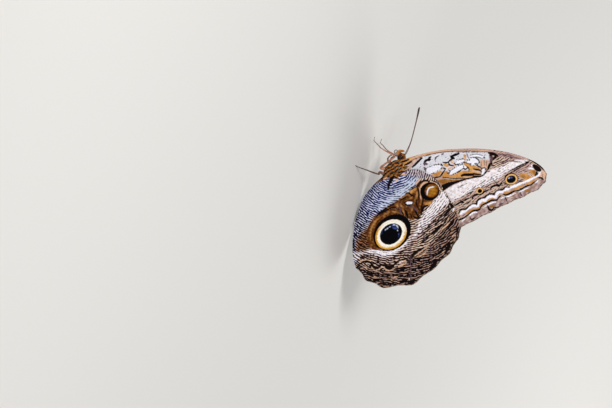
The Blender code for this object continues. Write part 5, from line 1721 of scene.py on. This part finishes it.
def hairs_along(name, line, radius, count, lengths, width, lift, tone, finish):
    """Short hairs standing round a limb, leaning to its tip, clear of the floor."""
    at = draw.integers(0, len(line) - 1, count)
    ahead = unit(np.gradient(line, axis=0))[at]
    aside = unit(np.cross(ahead, draw.normal(size=(count, 3))))
    roots = line[at] + aside * radius[at][:, None] * 0.9
    length = draw.uniform(*lengths, count) * np.minimum(1.0, radius[at] / 0.3)
    rising = np.full(count, lift)
    places, faces = tufts(roots, aside, ahead, length, np.full(count, width), rising, rising * 0.5)
    places[:, 2] = np.maximum(places[:, 2], 0.02)
    tones = np.array(tone) + draw.normal(0.0, 0.1, (count, 3))
    unwrapped = np.stack([at / len(line), draw.uniform(0.0, 1.0, count)], axis=1)
    coat(name, (places, faces), tones, unwrapped, finish)


def palps():
    """Three-jointed palps curving up before the face, thick with scales."""
    for side in (LEFT, RIGHT):
        line, radius = jointed_line(PALP_PATH, PALP_RADII, side, 0.12)
        radius[-3:] *= (0.9, 0.7, 0.3)
        places, faces = closed_tube(tube_rings(line, radius, 20))
        name = f"palp_{SIDE_NAMES[side]}"
        made = new_mesh(f"{name}_core", places, faces, (SKIN,))
        store(made, "fur", np.tile((0.85, 0.1, 0.05), (len(places), 1)))
        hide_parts(name)
        hairs_along(f"{name}_coat", line, radius, 700, (0.3, 0.6), 0.1, 0.45, (0.8, 0.1, 0.1), BODY_FUR)


def tongue():
    """The tongue, a ribbed tube wound in a flat spiral under the head."""
    path = [(TONGUE_ROOT[0], 0.0, TONGUE_ROOT[1])]
    for turn in np.linspace(0.0, TONGUE_TURNS, 20):
        reach = TONGUE_COIL - TONGUE_PITCH * turn
        angle = 2 * math.pi * turn
        drop = reach * math.sin(angle)
        path.append((TONGUE_CENTRE[0] + reach * math.cos(angle), 0.0, TONGUE_CENTRE[1] - drop))
    line = smooth_line(path, 0.06)
    share = np.linspace(0.0, 1.0, len(line))
    radius = TONGUE_RADIUS * (1 - 0.25 * share) * (1 + 0.05 * np.sin(share * 90 * math.pi))
    radius[-4:] *= (0.95, 0.85, 0.6, 0.2)
    places, faces = closed_tube(tube_rings(line, radius, 16))
    made = new_mesh("proboscis_coil", places, faces, (CUTICLE,))
    store(made, "bands", np.tile((0.1, 0.5, 0.0), (len(places), 1)))
    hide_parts("proboscis")


def leg(name, path, radii, side, joints, tone):
    """A jointed leg: a round limb pinched at each joint, with claws, short hairs and bristles."""
    line, radius = jointed_line(path, radii, side, 0.1)
    share = np.linspace(0.0, 1.0, len(line))
    for joint in joints:
        radius = radius * (1 - 0.3 * hill(share - joint, 0.008) + 0.12 * hill(share - joint + 0.02, 0.015))
    radius[-4:] *= (0.95, 0.85, 0.65, 0.3)
    rings = tube_rings(line, radius, 16)
    rings[..., 2] = np.maximum(rings[..., 2], 0.01)
    places, faces = closed_tube(rings)
    made = new_mesh(f"{name}_limb", places, faces, (CUTICLE,))
    scaled, stop = tone
    tan = np.repeat(scaled * (1 - rise(share, stop, stop + 0.12)) * (0.8 + 0.2 * np.sin(share * 40)), 16)
    dark = np.repeat(0.5 * rise(share, 0.6, 0.9), 16)
    bands = np.stack([tan, dark, 0 * dark], axis=1)
    store(made, "bands", np.vstack([bands, bands[:1], bands[-1:]]))
    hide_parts(name)
    count = int(len(line) * 3.5)
    tone = (scaled * 0.8, 0.2, 0.0)
    hairs_along(f"{name}_hairs", line, radius, count, (0.25, 0.5), 0.06, 0.5, tone, LEG_HAIR)
    claws(name, line)


def claws(name, line):
    """Two small hooks at the end of the foot: tapering tubes that curve out and down."""
    ahead = unit(line[-1] - line[-6])
    aside = unit(np.cross(ahead, (0.0, 0.0, 1.0)))
    places = []
    faces = []
    for hand in (-1, 1):
        bend = np.linspace(0.0, 1.0, 9)[:, None]
        path = line[-3] + ahead * bend * 0.4 + aside * hand * np.sin(bend * 2.2) * 0.22
        path = path + np.array((0.0, 0.0, 1.0)) * (0.12 * np.sin(bend * 3.0) - 0.05 * bend)
        path[:, 2] = np.maximum(path[:, 2], 0.08)
        rings = tube_rings(path, np.linspace(0.07, 0.012, 9), 8)
        some, more = closed_tube(rings, first=sum(map(len, places)))
        places.append(some)
        faces += more
    made = new_mesh(f"{name}_claws", np.vstack(places), faces, (CUTICLE,))
    store(made, "bands", np.tile((0.0, 0.9, 0.0), (len(made.data.vertices), 1)))


def legs():
    """Six legs: the small folded forelegs, the tan middle legs and the darker hind legs."""
    joints = (0.1, 0.45, 0.72, 0.8, 0.86, 0.91, 0.955)
    for side in (LEFT, RIGHT):
        name = SIDE_NAMES[side]
        leg(f"foreleg_{name}", FORELEG_PATH, FORELEG_RADII, side, (0.2, 0.5, 0.8), (0.6, 0.9))
        leg(f"midleg_{name}", MIDLEG_PATH, MIDLEG_RADII, side, joints, (0.95, 0.72))
        leg(f"hindleg_{name}", HINDLEG_PATHS[side], HINDLEG_RADII, side, joints, (0.3, 0.4))


# Studio


def studio():
    """A plain pale floor, soft lights and the camera at the photograph's angle."""
    scene = bpy.context.scene
    scene.view_settings.view_transform = "Standard"
    mesh = bpy.data.meshes.new("floor")
    reach = 6.0
    corners = [(-reach, -reach, 0), (reach, -reach, 0), (reach, reach, 0), (-reach, reach, 0)]
    mesh.from_pydata(corners, [], [(0, 1, 2, 3)])
    paper, _, shader = new_material("Matt paper floor", 0.9)
    shader.inputs["Base Color"].default_value = colour("#d3d0ca")
    mesh.materials.append(paper)
    floor = bpy.data.objects.new("floor", mesh)
    scene.collection.objects.link(floor)
    centre = (CAD_BOX[0] + CAD_BOX[1]) / 2
    for name, place, size, power in (
        ("key", (-0.45, -0.75, 0.75), 0.35, 7.5),
        ("fill", (0.6, -0.8, 0.35), 0.8, 2.4),
        ("back", (0.2, 0.8, 0.7), 0.6, 6.0),
    ):
        light = bpy.data.lights.new(name, "AREA")
        light.size = size
        light.energy = power
        lamp = bpy.data.objects.new(name, light)
        lamp.location = place
        lamp.rotation_mode = "QUATERNION"
        lamp.rotation_quaternion = (centre - Vector(place)).to_track_quat("-Z", "Y")
        scene.collection.objects.link(lamp)
    world = bpy.data.worlds.new("soft sky")
    world.use_nodes = True
    world.node_tree.nodes["Background"].inputs[0].default_value = colour("#e8ebf2")
    world.node_tree.nodes["Background"].inputs[1].default_value = 0.42
    scene.world = world
    data = bpy.data.cameras.new("camera")
    data.lens = LENS
    data.sensor_width = SENSOR
    data.clip_end = 20.0
    camera = bpy.data.objects.new("camera", data)
    turn = Matrix([PICTURE_RIGHT, -PICTURE_DOWN, -SIGHT]).transposed().to_4x4()
    camera.matrix_world = Matrix.Translation(Vector(to_frame(CAMERA))) @ turn
    scene.collection.objects.link(camera)
    scene.camera = camera


wings()
body()
eyes()
antennae()
palps()
tongue()
legs()
studio()
